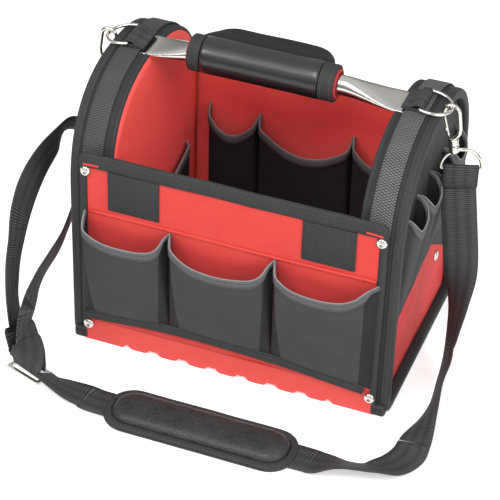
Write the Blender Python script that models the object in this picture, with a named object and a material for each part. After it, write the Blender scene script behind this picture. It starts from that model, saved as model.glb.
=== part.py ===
"""Open tool bag with rigid arched ends, a metal carrying bar and a shoulder strap.

Metres, +Z up. The origin is the centre of the base, on the surface that the bag stands on.
The front panel faces -Y and the two padded ends face -X and +X.
"""
from math import cos, pi, radians, sin

import bmesh
import bpy
from mathutils import Matrix, Vector

# Driving sizes of the bag
PANEL_WIDTH = 0.360
PANEL_TOP = 0.2625
PANEL_THICK = 0.003
BAG_DEPTH = 0.2656
END_PROUD = 0.0116
END_WIDTH = 0.0474
END_OUTER = PANEL_WIDTH / 2 + END_PROUD
END_INNER = END_OUTER - END_WIDTH
ARCH_SPRING = 0.206
ARCH_TOP = 0.337
ARCH_POWER = 2.44
END_CORNER = 0.012
GAP = 0.0003
OVERRUN = 0.01

# Base with its moulded ribs
SKIRT_TOP = 0.030
SKIRT_INSET = 0.001
SKIRT_WIDTH = PANEL_WIDTH - 2 * SKIRT_INSET
FLOOR_LOW = 0.005
FLOOR_THICK = 0.003
RIB_COUNT = 7
RIB_PITCH_SHARE = 0.1022
RIB_PITCH = PANEL_WIDTH * RIB_PITCH_SHARE
RIB_WIDTH = 0.027
RIB_FLAT = 0.012
RIB_STEPS = 3
FOOT_INSET = 0.049
FOOT_START = PANEL_WIDTH / 2 - FOOT_INSET
BOARD_THICK = 0.003
BOARD_MARGIN = 0.004

# Padded ends
BAND_THICK = 0.0065
END_PANEL_THICK = 0.0025
WEBBING_THICK = 0.0018
BAND_WEBBING_WIDTH = 0.025
BAND_WEBBING_LOW = 0.045
KEEPER_LENGTH = 0.040
KEEPER_WIDTH = 0.034

# Handle
BAR_RADIUS = 0.0115
BAR_RISE = 0.0043
BLADE_WIDTH = 0.043
BLADE_THICK = 0.004
BLADE_FLARE = 0.040
BLADE_SQUARE_SHARE = 0.6
BLADE_GRASP = 0.040
GRIP_RADIUS = 0.021
GRIP_BORE = 0.0118
GRIP_CLEAR_LEFT = 0.0442
GRIP_CLEAR_RIGHT = 0.0722
GRIP_START = GRIP_CLEAR_LEFT - END_INNER
GRIP_END = END_INNER - GRIP_CLEAR_RIGHT
FIN_REACH = 0.046
FIN_THICK = 0.011
FIN_RISE = 0.004
FIN_CORNER = 0.020

# Bindings, strips and patches
BINDING_TALL = 0.016
BINDING_THICK = 0.0016
STRIP_LOW = 0.0295
STRIP_TALL = 0.0155
STRIP_THICK = 0.0018
STRIP_CLEAR_LEFT = 0.004
STRIP_CLEAR_RIGHT = 0.018
STRIP_START = STRIP_CLEAR_LEFT - PANEL_WIDTH / 2
STRIP_END = PANEL_WIDTH / 2 - STRIP_CLEAR_RIGHT
PATCH_WIDTH = 0.062
PATCH_TALL = 0.051
PATCH_THICK = 0.0016
PATCH_TOP = 0.246
PATCH_INSET = 0.065
PATCH_PLACE = PANEL_WIDTH / 2 - PATCH_INSET

# Rivets
RIVET_RADIUS = 0.0058
RIVET_SHANK = 0.0020
RIVET_RISE = 0.0028
RIVET_HEAD_STEPS = 4
RIVET_HIGH = 0.2405
RIVET_LOW = 0.0235
RIVET_INSET = 0.0072
RIVET_SIDE = PANEL_WIDTH / 2 - RIVET_INSET
EYELET_BACK = 0.066
EYELET_HIGH = 0.091

# Pockets
POCKET_THICK = 0.0018
POCKET_LOW = 0.046
POCKET_TOP = 0.183
POCKET_SAG = 0.014
POCKET_BULGE = 0.026
POCKET_FOOT_BULGE = 0.006
POCKET_SPLIT_LEFT = -0.071
POCKET_SPLIT_RIGHT = 0.054
POCKET_INSET = 0.006
POCKET_SIDE = PANEL_WIDTH / 2 - POCKET_INSET
POCKET_SPACE = 0.004
INNER_LOW = 0.014
INNER_TOP = 0.187
INNER_SAG = 0.016
INNER_BULGE = 0.020
INNER_CLEAR = 0.0162
INNER_SIDE = END_INNER - INNER_CLEAR
INNER_SPLIT_LEFT = -0.063
INNER_SPLIT_RIGHT = 0.058
SIDE_POCKET_HALF = 0.100
SIDE_POCKET_LOW = 0.120
SIDE_POCKET_TOP = 0.252
SIDE_POCKET_SAG = 0.010
SIDE_POCKET_BULGE = 0.010
SIDE_POCKET_COUNT = 4
END_INNER_TOP = 0.150
END_INNER_HALF = 0.090
SWELL_SHARE = 0.8

# Metal fittings of the shoulder strap
WIRE_RADIUS = 0.0020
RING_WIDTH = 0.044
RING_REACH = 0.031
RING_BAR_INSET = 0.0196
RING_BAR_PLACE = END_OUTER - RING_BAR_INSET
RING_DROP = radians(8)
HOOK_RADIUS = 0.0025
HOOK_HALF = 0.0085
HOOK_TALL = 0.042
HOOK_LEAN = radians(8)
HOOK_SHOULDER_SHARES = ((0.75, 0.7), (1.0, 1.6))
COLLAR_RADIUS = 0.0060
COLLAR_TALL = 0.010
COLLAR_BORE = 0.0034
STUD_RADIUS = 0.0030
STUD_LENGTH = 0.007
STUD_FLANGE = 0.0055
STUD_FLANGE_TALL = 0.007
GATE_RADIUS = 0.0013
EYE_DROP = 0.0245
EYE_WIDTH = 0.0455
STRAP_TURN = radians(20)
EYE_SHIFT = radians(25)

# Shoulder strap
STRAP_WIDTH = 0.040
STRAP_THICK = 0.0018
STRAP_LEAD = 0.008
SEWN_TALL = 0.026
STRAP_CLEAR = 0.0434
STRAP_OUT = END_OUTER + STRAP_CLEAR
STRAP_FRONT = 0.236
STRAP_HIGH = 0.240
PAD_START = -0.104
PAD_END = 0.124
PAD_WIDTH = 0.070
PAD_EDGE_HIGH = 0.006
PAD_SHOULDER_HIGH = 0.0125
PAD_THICK = 0.016
PAD_CROWN_INSET = 0.012
PAD_ROUND = 0.030
PAD_SLOT_LOW = 0.0022
PAD_SLOT_HIGH = 0.0026
PAD_SLOT_WIDE = 0.0416
SLIDER_INSET = 0.023
SLIDER_OUT = SLIDER_INSET - STRAP_OUT
SLIDER_FRONT = -0.214
SLIDER_LOW = 0.0004
SLIDER_WIDE = 0.050
SLIDER_LONG = 0.026
SLIDER_THICK = 0.0030
SLIDER_BAR = 0.0040
SLIDER_TURN = radians(-19)

# Routes of the strap, as shares of its reach sideways, forwards and upwards, with its width direction
RIGHT_DROP_SHARES = (
    ((0.939, 0.000, 1.010), (0.94, 0.34, 0.0)),
    ((0.939, 0.000, 0.980), (0.94, 0.34, 0.0)),
    ((0.952, 0.000, 0.850), (0.94, 0.34, 0.0)),
    ((0.985, -0.010, 0.600), (0.94, 0.20, 0.0)),
    ((0.994, -0.020, 0.390), (0.80, -0.60, 0.0)),
    ((0.992, -0.040, 0.220), (0.52, -0.85, 0.0)),
    ((0.996, -0.110, 0.112), (0.38, -0.62, 0.69)),
    ((1.012, -0.240, 0.088), (0.36, -0.10, 0.93)),
    ((1.024, -0.400, 0.088), (0.31, 0.03, 0.95)),
    ((1.028, -0.550, 0.070), (0.60, -0.05, 0.80)),
    ((1.016, -0.700, 0.024), (0.95, -0.13, 0.20)),
)
FRONT_SHARES = (
    ((1.0155, -0.7060, 0.0228), (0.95, -0.13, 0.20)),
    ((1.0075, -0.790, 0.0090), (0.97, -0.20, 0.0)),
    ((0.960, -0.890, 0.0170), (0.75, -0.60, 0.10)),
    ((0.880, -0.975, 0.0480), (0.25, -0.80, 0.48)),
    ((0.760, -1.005, 0.0500), (0.0, -0.87, 0.48)),
    ((0.640, -1.005, 0.0200), (0.0, -0.99, 0.08)),
    ((0.560, -1.000, 0.0145), (0.0, -1.0, 0.0)),
    ((0.250, -1.000, 0.0145), (0.0, -1.0, 0.0)),
    ((-0.150, -1.000, 0.0145), (0.0, -1.0, 0.0)),
    ((-0.480, -1.000, 0.0145), (0.0, -1.0, 0.0)),
    ((-0.560, -0.985, 0.0125), (0.0, -1.0, 0.03)),
    ((-0.650, -0.987, 0.0260), (-0.15, -0.97, 0.22)),
    ((-0.742, -0.9835, 0.0480), (-0.2, -0.85, 0.50)),
    ((-0.802, -0.962, 0.0592), (-0.28, -0.76, 0.58)),
)
OUTER_RUN_SHARES = (
    ((-0.9174, -0.0398, 1.0046), (0.000, 0.980, -0.200)),
    ((-0.9191, -0.0466, 0.9717), (0.000, 0.980, -0.200)),
    ((-0.9383, -0.0593, 0.9271), (-0.020, 0.975, -0.220)),
    ((-0.9787, -0.0911, 0.9021), (-0.220, 0.800, -0.550)),
    ((-1.0213, -0.1695, 0.9396), (-0.400, 0.300, -0.860)),
    ((-1.0234, -0.2797, 0.9279), (-0.080, 0.240, -0.970)),
    ((-1.0404, -0.4153, 0.8907), (0.150, 0.300, -0.940)),
    ((-1.0421, -0.5593, 0.8360), (0.280, 0.430, -0.860)),
    ((-1.0296, -0.6822, 0.7622), (0.230, 0.640, -0.730)),
    ((-1.0135, -0.7712, 0.6626), (0.060, 0.790, -0.610)),
    ((-1.0051, -0.8305, 0.5762), (-0.010, 0.880, -0.470)),
    ((-0.9932, -0.8729, 0.4729), (-0.090, 0.960, -0.260)),
    ((-0.9867, -0.8877, 0.3656), (-0.160, 0.980, -0.140)),
    ((-0.9722, -0.8983, 0.2746), (-0.100, 0.970, -0.200)),
    ((-0.9487, -0.9225, 0.2333), (0.208, 0.978, 0.000)),
    ((-0.9370, -0.9164, 0.2000), (0.469, 0.883, 0.000)),
    ((-0.9254, -0.9045, 0.1583), (0.743, 0.669, 0.000)),
    ((-0.9159, -0.8951, 0.1250), (0.914, 0.407, 0.000)),
    ((-0.9066, -0.8880, 0.0917), (0.995, 0.105, 0.000)),
    ((-0.8977, -0.8839, 0.0583), (0.982, -0.191, 0.000)),
    ((-0.8945, -0.8847, 0.0217), (0.946, -0.326, 0.000)),
)
INNER_RUN_SHARES = (
    ((-0.8901, -0.0400, 1.0031), (0.000, 0.980, -0.200)),
    ((-0.8918, -0.0468, 0.9705), (-0.010, 0.970, -0.230)),
    ((-0.9021, -0.0763, 0.8542), (-0.020, 0.940, -0.330)),
    ((-0.9043, -0.1483, 0.6875), (-0.040, 0.800, -0.600)),
    ((-0.9318, -0.2881, 0.5760), (-0.230, 0.430, -0.870)),
    ((-0.9074, -0.5000, 0.5179), (-0.250, 0.230, -0.940)),
    ((-0.9100, -0.6610, 0.4822), (-0.250, 0.210, -0.940)),
    ((-0.9060, -0.7712, 0.4576), (-0.150, 0.290, -0.940)),
    ((-0.9005, -0.8432, 0.4260), (-0.030, 0.430, -0.900)),
    ((-0.8957, -0.9004, 0.3961), (0.020, 0.690, -0.720)),
    ((-0.9004, -0.9301, 0.3438), (0.020, 0.940, -0.340)),
    ((-0.9044, -0.9428, 0.2792), (-0.020, 1.000, -0.090)),
    ((-0.9050, -0.9317, 0.2333), (0.208, 0.978, 0.000)),
    ((-0.9013, -0.9353, 0.2000), (0.469, 0.883, 0.000)),
    ((-0.8984, -0.9344, 0.1583), (0.743, 0.669, 0.000)),
    ((-0.8986, -0.9338, 0.1250), (0.914, 0.407, 0.000)),
    ((-0.9019, -0.9323, 0.0917), (0.995, 0.105, 0.000)),
    ((-0.9066, -0.9297, 0.0583), (0.982, -0.191, 0.000)),
    ((-0.9097, -0.9288, 0.0217), (0.946, -0.326, 0.000)),
)

# Looks
RED = (0.78, 0.055, 0.05)
BLACK = (0.022, 0.022, 0.024)
CHARCOAL = (0.055, 0.056, 0.062)
GREY = (0.13, 0.13, 0.14)
LEATHER = (0.018, 0.018, 0.020)
CHROME = (0.80, 0.79, 0.76)

WIRE_SIDES = 2
CURVE_STEPS = 5
ARCH_STEPS = 28
CORNER_STEPS = 4
ROUND_SIDES = 20
POCKET_COLUMNS = 10
POCKET_ROWS = 5


def clear_scene():
    """Remove every object that the file holds."""
    for item in list(bpy.data.objects):
        bpy.data.objects.remove(item)


def finish(name, colour, roughness, metallic):
    """Return a material of one colour."""
    material = bpy.data.materials.new(name)
    material.use_nodes = True
    shader = material.node_tree.nodes["Principled BSDF"]
    shader.inputs["Base Color"].default_value = (*colour, 1.0)
    shader.inputs["Roughness"].default_value = roughness
    shader.inputs["Metallic"].default_value = metallic
    material.diffuse_color = (*colour, 1.0)
    return material


def add_mesh(name, shape, look, smooth=False):
    """Turn a bmesh into a named object with its own material."""
    bmesh.ops.recalc_face_normals(shape, faces=shape.faces)
    mesh = bpy.data.meshes.new(name)
    shape.to_mesh(mesh)
    shape.free()
    if smooth:
        mesh.shade_smooth()
        mesh.set_sharp_from_angle(angle=radians(40))
    return add_object(name, mesh, look)


def add_object(name, data, look):
    """Link an object and give it its own material."""
    item = bpy.data.objects.new(name, data)
    bpy.context.scene.collection.objects.link(item)
    if look:
        data.materials.append(finish(name + "_finish", *look))
    return item


FABRIC_RED = (RED, 0.75, 0.0)
FABRIC_BLACK = (BLACK, 0.85, 0.0)
FABRIC_CHARCOAL = (CHARCOAL, 0.85, 0.0)
WEBBING_LOOK = (BLACK, 0.70, 0.0)
METAL_LOOK = (CHROME, 0.18, 1.0)
LEATHER_LOOK = (LEATHER, 0.42, 0.0)
PLASTIC_RED = (RED, 0.5, 0.0)


def hide_tool(item):
    """Keep a cutter out of the model."""
    item.hide_render = True
    item.display_type = "WIRE"
    return item


def combine(target, tool, operation):
    """Add an exact Boolean with a hidden tool."""
    step = target.modifiers.new(operation.lower(), "BOOLEAN")
    step.operation = operation
    step.solver = "EXACT"
    step.object = hide_tool(tool)
    return target


def place_on(axis, flat, along):
    """Return a point from two flat coordinates and one along an axis."""
    if axis == "X":
        return Vector((along, flat[0], flat[1]))
    if axis == "Y":
        return Vector((flat[0], along, flat[1]))
    return Vector((flat[0], flat[1], along))


def prism(name, outline, axis, low, high, look, smooth=False):
    """Extrude a flat outline from low to high along an axis."""
    shape = bmesh.new()
    corners = [shape.verts.new(place_on(axis, point, low)) for point in outline]
    face = shape.faces.new(corners)
    grown = bmesh.ops.extrude_face_region(shape, geom=[face])
    moved = [part for part in grown["geom"] if isinstance(part, bmesh.types.BMVert)]
    shift = place_on(axis, (0, 0), high - low)
    bmesh.ops.translate(shape, verts=moved, vec=shift)
    return add_mesh(name, shape, look, smooth)


def box(name, low, high, look=None):
    """Make a block between two corners."""
    outline = [(low[0], low[1]), (high[0], low[1]), (high[0], high[1]), (low[0], high[1])]
    return prism(name, outline, "Z", low[2], high[2], look)


def cylinder(name, radius, start, end, look=None, sides=ROUND_SIDES):
    """Make a round bar between two points."""
    start = Vector(start)
    reach = Vector(end) - start
    shape = bmesh.new()
    bmesh.ops.create_cone(shape, cap_ends=True, segments=sides, radius1=radius,
                          radius2=radius, depth=reach.length)
    turn = reach.to_track_quat("Z", "Y").to_matrix().to_4x4()
    middle = Matrix.Translation(start + reach / 2)
    bmesh.ops.transform(shape, matrix=middle @ turn, verts=shape.verts)
    return add_mesh(name, shape, look, smooth=True)


def arc(centre, radius, start, end, steps):
    """Return points along a circular arc."""
    turn = (end - start) / steps
    return [(centre[0] + radius * cos(start + turn * k), centre[1] + radius * sin(start + turn * k))
            for k in range(steps + 1)]


def arch_point(turn, inset):
    """Return a point on the arch for an angle from the back spring to the front one."""
    half = BAG_DEPTH / 2 - PANEL_THICK - GAP - inset
    rise = ARCH_TOP - inset - ARCH_SPRING
    power = 2 / ARCH_POWER
    across = half * abs(cos(turn)) ** power
    if cos(turn) < 0:
        across = -across
    return (across, ARCH_SPRING + rise * abs(sin(turn)) ** power)


def arch_points(inset, start=0.0, end=pi, steps=ARCH_STEPS):
    """Return points over the arch between two angles."""
    turn = (end - start) / steps
    return [arch_point(start + turn * k, inset) for k in range(steps + 1)]


def end_outline(inset):
    """Return the closed side outline of an end, with its arch and rounded lower corners."""
    half = BAG_DEPTH / 2 - PANEL_THICK - GAP - inset
    radius = END_CORNER - inset
    low = inset
    front = arc((-half + radius, low + radius), radius, pi, 1.5 * pi, CORNER_STEPS)
    back = arc((half - radius, low + radius), radius, 1.5 * pi, 2 * pi, CORNER_STEPS)
    return arch_points(inset) + front + back


def loft(name, sections, look, closed=False, smooth=True):
    """Skin a row of sections, each a loop of points, into one closed body."""
    shape = bmesh.new()
    loops = [[shape.verts.new(point) for point in section] for section in sections]
    pairs = list(zip(loops, loops[1:] + loops[:1] if closed else loops[1:]))
    count = len(sections[0])
    for first, second in pairs:
        for k in range(count):
            other = (k + 1) % count
            shape.faces.new((first[k], first[other], second[other], second[k]))
    if not closed:
        shape.faces.new(loops[0])
        shape.faces.new(loops[-1])
    return add_mesh(name, shape, look, smooth)


def smooth_route(points, steps=CURVE_STEPS):
    """Return a smooth row of points through the given ones."""
    row = [Vector(point) for point in points]
    row = [2 * row[0] - row[1]] + row + [2 * row[-1] - row[-2]]
    result = []
    for a, b, c, d in zip(row, row[1:], row[2:], row[3:]):
        for k in range(steps):
            t = k / steps
            result.append(0.5 * (2 * b + (c - a) * t + (2 * a - 5 * b + 4 * c - d) * t ** 2
                                 + (3 * b - a - 3 * c + d) * t ** 3))
    result.append(row[-2])
    return result


def ribbon(name, points, sides, width, thick, look, steps=CURVE_STEPS):
    """Sweep a flat webbing section along a route; sides give its width direction."""
    route = smooth_route(points, steps)
    wide = smooth_route(sides, steps)
    sections = []
    for k, point in enumerate(route):
        ahead = route[min(k + 1, len(route) - 1)] - route[max(k - 1, 0)]
        ahead.normalize()
        side = wide[k] - ahead * wide[k].dot(ahead)
        side.normalize()
        up = side.cross(ahead)
        half = side * width / 2
        lift = up * thick / 2
        sections.append([point - half - lift, point + half - lift,
                         point + half + lift, point - half + lift])
    return loft(name, sections, look, smooth=False)


def wire(name, points, radius, look, closed=False, sides=WIRE_SIDES):
    """Bend a round wire along a row of points."""
    data = bpy.data.curves.new(name, "CURVE")
    data.dimensions = "3D"
    data.bevel_depth = radius
    data.bevel_resolution = sides
    data.use_fill_caps = not closed
    line = data.splines.new("POLY")
    line.points.add(len(points) - 1)
    for spot, point in zip(line.points, points):
        spot.co = (*point, 1.0)
    line.use_cyclic_u = closed
    return add_object(name, data, look)


def as_mesh(item):
    """Turn a wire into a plain mesh object, so that a Boolean can use it."""
    graph = bpy.context.evaluated_depsgraph_get()
    mesh = bpy.data.meshes.new_from_object(item.evaluated_get(graph))
    name = item.name
    looks = [slot.material for slot in item.material_slots]
    bpy.data.objects.remove(item)
    fresh = bpy.data.objects.new(name, mesh)
    bpy.context.scene.collection.objects.link(fresh)
    if looks and not mesh.materials:
        mesh.materials.append(looks[0])
    return fresh


def joint_empty(name, place):
    """Mark a joint with an empty on its axis."""
    empty = bpy.data.objects.new(name, None)
    empty.location = place
    bpy.context.scene.collection.objects.link(empty)
    return empty


def carry(empty, *pieces):
    """Parent pieces to the empty on their joint without moving them."""
    bpy.context.view_layer.update()
    for piece in pieces:
        piece.parent = empty
        piece.matrix_parent_inverse = empty.matrix_world.inverted()


FRONT = -BAG_DEPTH / 2
END_FRONT = FRONT + PANEL_THICK + GAP
INNER_HALF = END_INNER - GAP


def rivet_places():
    """Return the named places of the rivets in the front and back panels."""
    places = {}
    for level, out, high in (("front_upper", -1, RIVET_HIGH), ("front_lower", -1, RIVET_LOW),
                             ("back_upper", 1, RIVET_HIGH)):
        places[level] = [(f"rivet_{level}_{side}", Vector((across, out * BAG_DEPTH / 2, high)),
                          Vector((0, out, 0)))
                         for side, across in (("left", -RIVET_SIDE), ("right", RIVET_SIDE))]
    return places


def eyelet_places():
    """Return the named places of the two rivets low on the ends."""
    places = {}
    for side, out in (("left", -1), ("right", 1)):
        spot = Vector((out * END_OUTER, EYELET_BACK, EYELET_HIGH))
        places[side] = [(f"rivet_end_{side}", spot, Vector((out, 0, 0)))]
    return places


def rivet(name, place, out, grip):
    """Turn a domed rivet with its shank in the panel."""
    shape = bmesh.new()
    profile = [(0, RIVET_RISE)]
    for k in range(1, RIVET_HEAD_STEPS + 1):
        turn = k / RIVET_HEAD_STEPS * pi / 2
        profile.append((RIVET_RADIUS * sin(turn), GAP + (RIVET_RISE - GAP) * cos(turn)))
    profile += [(RIVET_SHANK, GAP), (RIVET_SHANK, -grip), (0, -grip)]
    spots = [shape.verts.new((radius, 0, high)) for radius, high in profile]
    edges = [shape.edges.new(pair) for pair in zip(spots, spots[1:])]
    bmesh.ops.spin(shape, geom=spots + edges, cent=(0, 0, 0), axis=(0, 0, 1), angle=2 * pi,
                   steps=12, use_merge=True)
    bmesh.ops.remove_doubles(shape, verts=shape.verts, dist=GAP / 10)
    turn = out.to_track_quat("Z", "Y").to_matrix().to_4x4()
    bmesh.ops.transform(shape, matrix=Matrix.Translation(place) @ turn, verts=shape.verts)
    return add_mesh(name, shape, METAL_LOOK, smooth=True)


def set_rivets(target, places, grip):
    """Bore a piece for the shanks of its rivets and set them."""
    for name, place, out in places:
        bore = cylinder(f"bore_{name}", RIVET_SHANK + GAP, place + out * OVERRUN,
                        place - out * (grip + OVERRUN), sides=12)
        combine(target, bore, "DIFFERENCE")
        rivet(name, place, out, grip)


def build_base():
    """Moulded tray with ribs under it, and the stiff board that lies in it."""
    half = SKIRT_WIDTH / 2
    step = FOOT_START - FLOOR_LOW
    tray = box("base_tray", (-INNER_HALF, FRONT, FLOOR_LOW),
               (INNER_HALF, -FRONT, FLOOR_LOW + FLOOR_THICK), PLASTIC_RED)
    for side in (-1, 1):
        outline = [(-half, 0), (-FOOT_START, 0), (-step, FLOOR_LOW), (step, FLOOR_LOW),
                   (FOOT_START, 0), (half, 0), (half, SKIRT_TOP), (-half, SKIRT_TOP)]
        low = min(side * BAG_DEPTH / 2, side * (BAG_DEPTH / 2 - PANEL_THICK))
        skirt = prism(f"skirt_tool_{side}", outline, "Y", low, low + PANEL_THICK, None)
        combine(tray, skirt, "UNION")
    rise = FLOOR_LOW + FLOOR_THICK / 2
    for k in range(RIB_COUNT):
        across = (k - (RIB_COUNT - 1) / 2) * RIB_PITCH
        curve = []
        for j in range(1, RIB_STEPS + 1):
            turn = j / RIB_STEPS * pi / 2
            reach = RIB_FLAT / 2 + (RIB_WIDTH - RIB_FLAT) / 2 * sin(turn)
            curve.append((reach, rise * (1 - cos(turn))))
        outline = [(across - RIB_FLAT / 2, 0), (across + RIB_FLAT / 2, 0)]
        outline += [(across + reach, high) for reach, high in curve]
        outline += [(across - reach, high) for reach, high in reversed(curve)]
        rib = prism(f"rib_tool_{k}", outline, "Y", FRONT, -FRONT, None)
        combine(tray, rib, "UNION")
    floor_top = FLOOR_LOW + FLOOR_THICK
    board_half = INNER_HALF - BOARD_MARGIN
    board_depth = BAG_DEPTH / 2 - PANEL_THICK - BOARD_MARGIN
    box("base_board", (-board_half, -board_depth, floor_top + GAP),
        (board_half, board_depth, floor_top + GAP + BOARD_THICK), FABRIC_BLACK)
    return tray


def build_panel(name, out):
    """Front or back panel, standing on the skirt of the base."""
    low = min(out * BAG_DEPTH / 2, out * (BAG_DEPTH / 2 - PANEL_THICK))
    half = PANEL_WIDTH / 2
    return box(name, (-half, low, SKIRT_TOP + GAP), (half, low + PANEL_THICK, PANEL_TOP), FABRIC_RED)


def build_binding(name, out):
    """Folded tape over the top edge of a panel."""
    face = out * (BAG_DEPTH / 2 + GAP)
    outer = face + out * BINDING_THICK
    back = out * (BAG_DEPTH / 2 - PANEL_THICK)
    top = PANEL_TOP + GAP
    low = PANEL_TOP - BINDING_TALL
    outline = [(outer, low), (outer, top + BINDING_THICK), (back, top + BINDING_THICK),
               (back, top), (face, top), (face, low)]
    return prism(name, outline, "X", -PANEL_WIDTH / 2, PANEL_WIDTH / 2, FABRIC_BLACK)


def build_strip(name, out):
    """Flat tape along the foot of the pockets."""
    face = out * (BAG_DEPTH / 2 + GAP)
    outer = face + out * STRIP_THICK
    return box(name, (STRIP_START, min(face, outer), STRIP_LOW),
               (STRIP_END, max(face, outer), STRIP_LOW + STRIP_TALL), FABRIC_BLACK)


def build_patch(name, across):
    """Square of hook-and-loop tape under the top binding of the front panel."""
    face = FRONT - GAP
    return box(name, (across - PATCH_WIDTH / 2, face - PATCH_THICK, PATCH_TOP - PATCH_TALL),
               (across + PATCH_WIDTH / 2, face, PATCH_TOP), FABRIC_BLACK)


def pocket(name, across, up, bulge, frame, lobes=1):
    """Bulging pocket sheet, open at its top, seated on a wall by its seams and foot.

    across and up are (start, end) on the wall, up with a third value for the sag of the mouth;
    bulge is (at the foot, at the mouth); frame is (origin, across, up, outward) of the wall;
    lobes is the number of pockets that the sheet is divided into.
    """
    origin, wide, high, out = [Vector(part) for part in frame]
    columns = POCKET_COLUMNS * lobes
    rows = POCKET_ROWS
    shape = bmesh.new()
    outer = []
    inner = []
    for j in range(rows + 1):
        rise = j / rows
        outer_row = []
        inner_row = []
        for i in range(columns + 1):
            share = i / columns
            place = i % POCKET_COLUMNS / POCKET_COLUMNS
            off = abs(2 * place - 1)
            crown = (1 - off ** 3) ** 0.5
            top = up[1] - up[2] * (1 - off ** 2)
            level = up[0] + (top - up[0]) * rise
            depth = (bulge[0] + (bulge[1] - bulge[0]) * rise ** SWELL_SHARE) * crown
            spot = across[0] + (across[1] - across[0]) * share
            inset = POCKET_THICK * (1 - 2 * share)
            flat = origin + wide * spot + high * level
            outer_row.append(shape.verts.new(flat + out * (GAP + POCKET_THICK + depth)))
            inner_row.append(shape.verts.new(flat + wide * inset + out * (GAP + depth)))
        outer.append(outer_row)
        inner.append(inner_row)
    for j in range(rows):
        for i in range(columns):
            shape.faces.new((outer[j][i], outer[j][i + 1], outer[j + 1][i + 1], outer[j + 1][i]))
            shape.faces.new((inner[j][i], inner[j][i + 1], inner[j + 1][i + 1], inner[j + 1][i]))
    for i in range(columns):
        shape.faces.new((outer[0][i], outer[0][i + 1], inner[0][i + 1], inner[0][i]))
        shape.faces.new((outer[-1][i], outer[-1][i + 1], inner[-1][i + 1], inner[-1][i]))
    for j in range(rows):
        shape.faces.new((outer[j][0], outer[j + 1][0], inner[j + 1][0], inner[j][0]))
        shape.faces.new((outer[j][-1], outer[j + 1][-1], inner[j + 1][-1], inner[j][-1]))
    return add_mesh(name, shape, FABRIC_CHARCOAL, smooth=True)


def build_panel_pockets():
    """Three pockets on the outside of the front and back panels."""
    spans = ((-POCKET_SIDE, POCKET_SPLIT_LEFT), (POCKET_SPLIT_LEFT, POCKET_SPLIT_RIGHT),
             (POCKET_SPLIT_RIGHT, POCKET_SIDE))
    up = (POCKET_LOW, POCKET_TOP, POCKET_SAG)
    bulge = (POCKET_FOOT_BULGE, POCKET_BULGE)
    for face, out in (("front", -1), ("back", 1)):
        frame = ((0, out * BAG_DEPTH / 2, 0), (1, 0, 0), (0, 0, 1), (0, out, 0))
        for side, (start, end) in zip(("left", "middle", "right"), spans):
            span = (start + POCKET_SPACE / 2, end - POCKET_SPACE / 2)
            pocket(f"pocket_{face}_{side}", span, up, bulge, frame)


def build_inner_pockets():
    """Pockets on the inside of the back panel and of the two ends."""
    inside = BAG_DEPTH / 2 - PANEL_THICK
    frame = ((0, inside, 0), (1, 0, 0), (0, 0, 1), (0, -1, 0))
    spans = ((-INNER_SIDE, INNER_SPLIT_LEFT), (INNER_SPLIT_LEFT, INNER_SPLIT_RIGHT),
             (INNER_SPLIT_RIGHT, INNER_SIDE))
    for side, (start, end) in zip(("left", "middle", "right"), spans):
        span = (start + POCKET_SPACE / 2, end - POCKET_SPACE / 2)
        pocket(f"pocket_inside_back_{side}", span, (INNER_LOW, INNER_TOP, INNER_SAG),
               (POCKET_FOOT_BULGE, INNER_BULGE), frame)
    for side, out in (("left", -1), ("right", 1)):
        frame = ((out * INNER_HALF, 0, 0), (0, 1, 0), (0, 0, 1), (-out, 0, 0))
        pocket(f"pocket_inside_{side}", (-END_INNER_HALF, END_INNER_HALF),
               (INNER_LOW, END_INNER_TOP, INNER_SAG), (POCKET_FOOT_BULGE, POCKET_FOOT_BULGE), frame)


def build_side_pockets():
    """Row of upright pockets on the outside of each end."""
    for side, out in (("left", -1), ("right", 1)):
        frame = ((out * END_OUTER, 0, 0), (0, 1, 0), (0, 0, 1), (out, 0, 0))
        pocket(f"end_pockets_{side}", (-SIDE_POCKET_HALF, SIDE_POCKET_HALF),
               (SIDE_POCKET_LOW, SIDE_POCKET_TOP, SIDE_POCKET_SAG),
               (POCKET_FOOT_BULGE, SIDE_POCKET_BULGE), frame, SIDE_POCKET_COUNT)


def build_end(side, out):
    """Padded end: two panels inside an arched band, with its webbing and ring keeper."""
    inner_x = out * END_INNER
    outer_x = out * END_OUTER
    low = min(inner_x, outer_x)
    high = max(inner_x, outer_x)
    band = prism(f"arch_band_{side}", end_outline(0), "X", low, high, FABRIC_BLACK)
    hollow = prism(f"hollow_{side}", end_outline(BAND_THICK), "X", low - OVERRUN, high + OVERRUN, None)
    combine(band, hollow, "DIFFERENCE")
    seat = build_blade_seat(side, out)
    combine(band, seat, "DIFFERENCE")
    panel_outline = end_outline(BAND_THICK + GAP)
    thick = out * END_PANEL_THICK
    for name, start in ((f"end_inner_panel_{side}", inner_x),
                        (f"end_outer_panel_{side}", outer_x - thick)):
        panel = prism(name, panel_outline, "X", min(start, start + thick),
                      max(start, start + thick), FABRIC_RED)
    set_rivets(panel, eyelet_places()[side], END_PANEL_THICK)
    build_band_webbing(side, out)
    build_keeper(side, out)


def band_middle(out):
    """Return the middle of a band across its width."""
    return out * (END_INNER + END_OUTER) / 2


def build_blade_seat(side, out):
    """Recess in the top of a band for the flat end of the handle bar."""
    tip = END_INNER + BLADE_GRASP
    start = END_INNER - OVERRUN
    low = min(out * start, out * (tip + GAP))
    high = max(out * start, out * (tip + GAP))
    half = BLADE_WIDTH / 2 + GAP
    return box(f"blade_seat_{side}", (low, -half, BLADE_LOW - GAP), (high, half, ARCH_TOP + OVERRUN))


BLADE_HIGH = ARCH_TOP - GAP
BLADE_LOW = BLADE_HIGH - BLADE_THICK
BLADE_MIDDLE = (BLADE_HIGH + BLADE_LOW) / 2
BAR_HIGH = BLADE_MIDDLE + BAR_RISE
WEBBING_TOP = GAP + WEBBING_THICK


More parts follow.
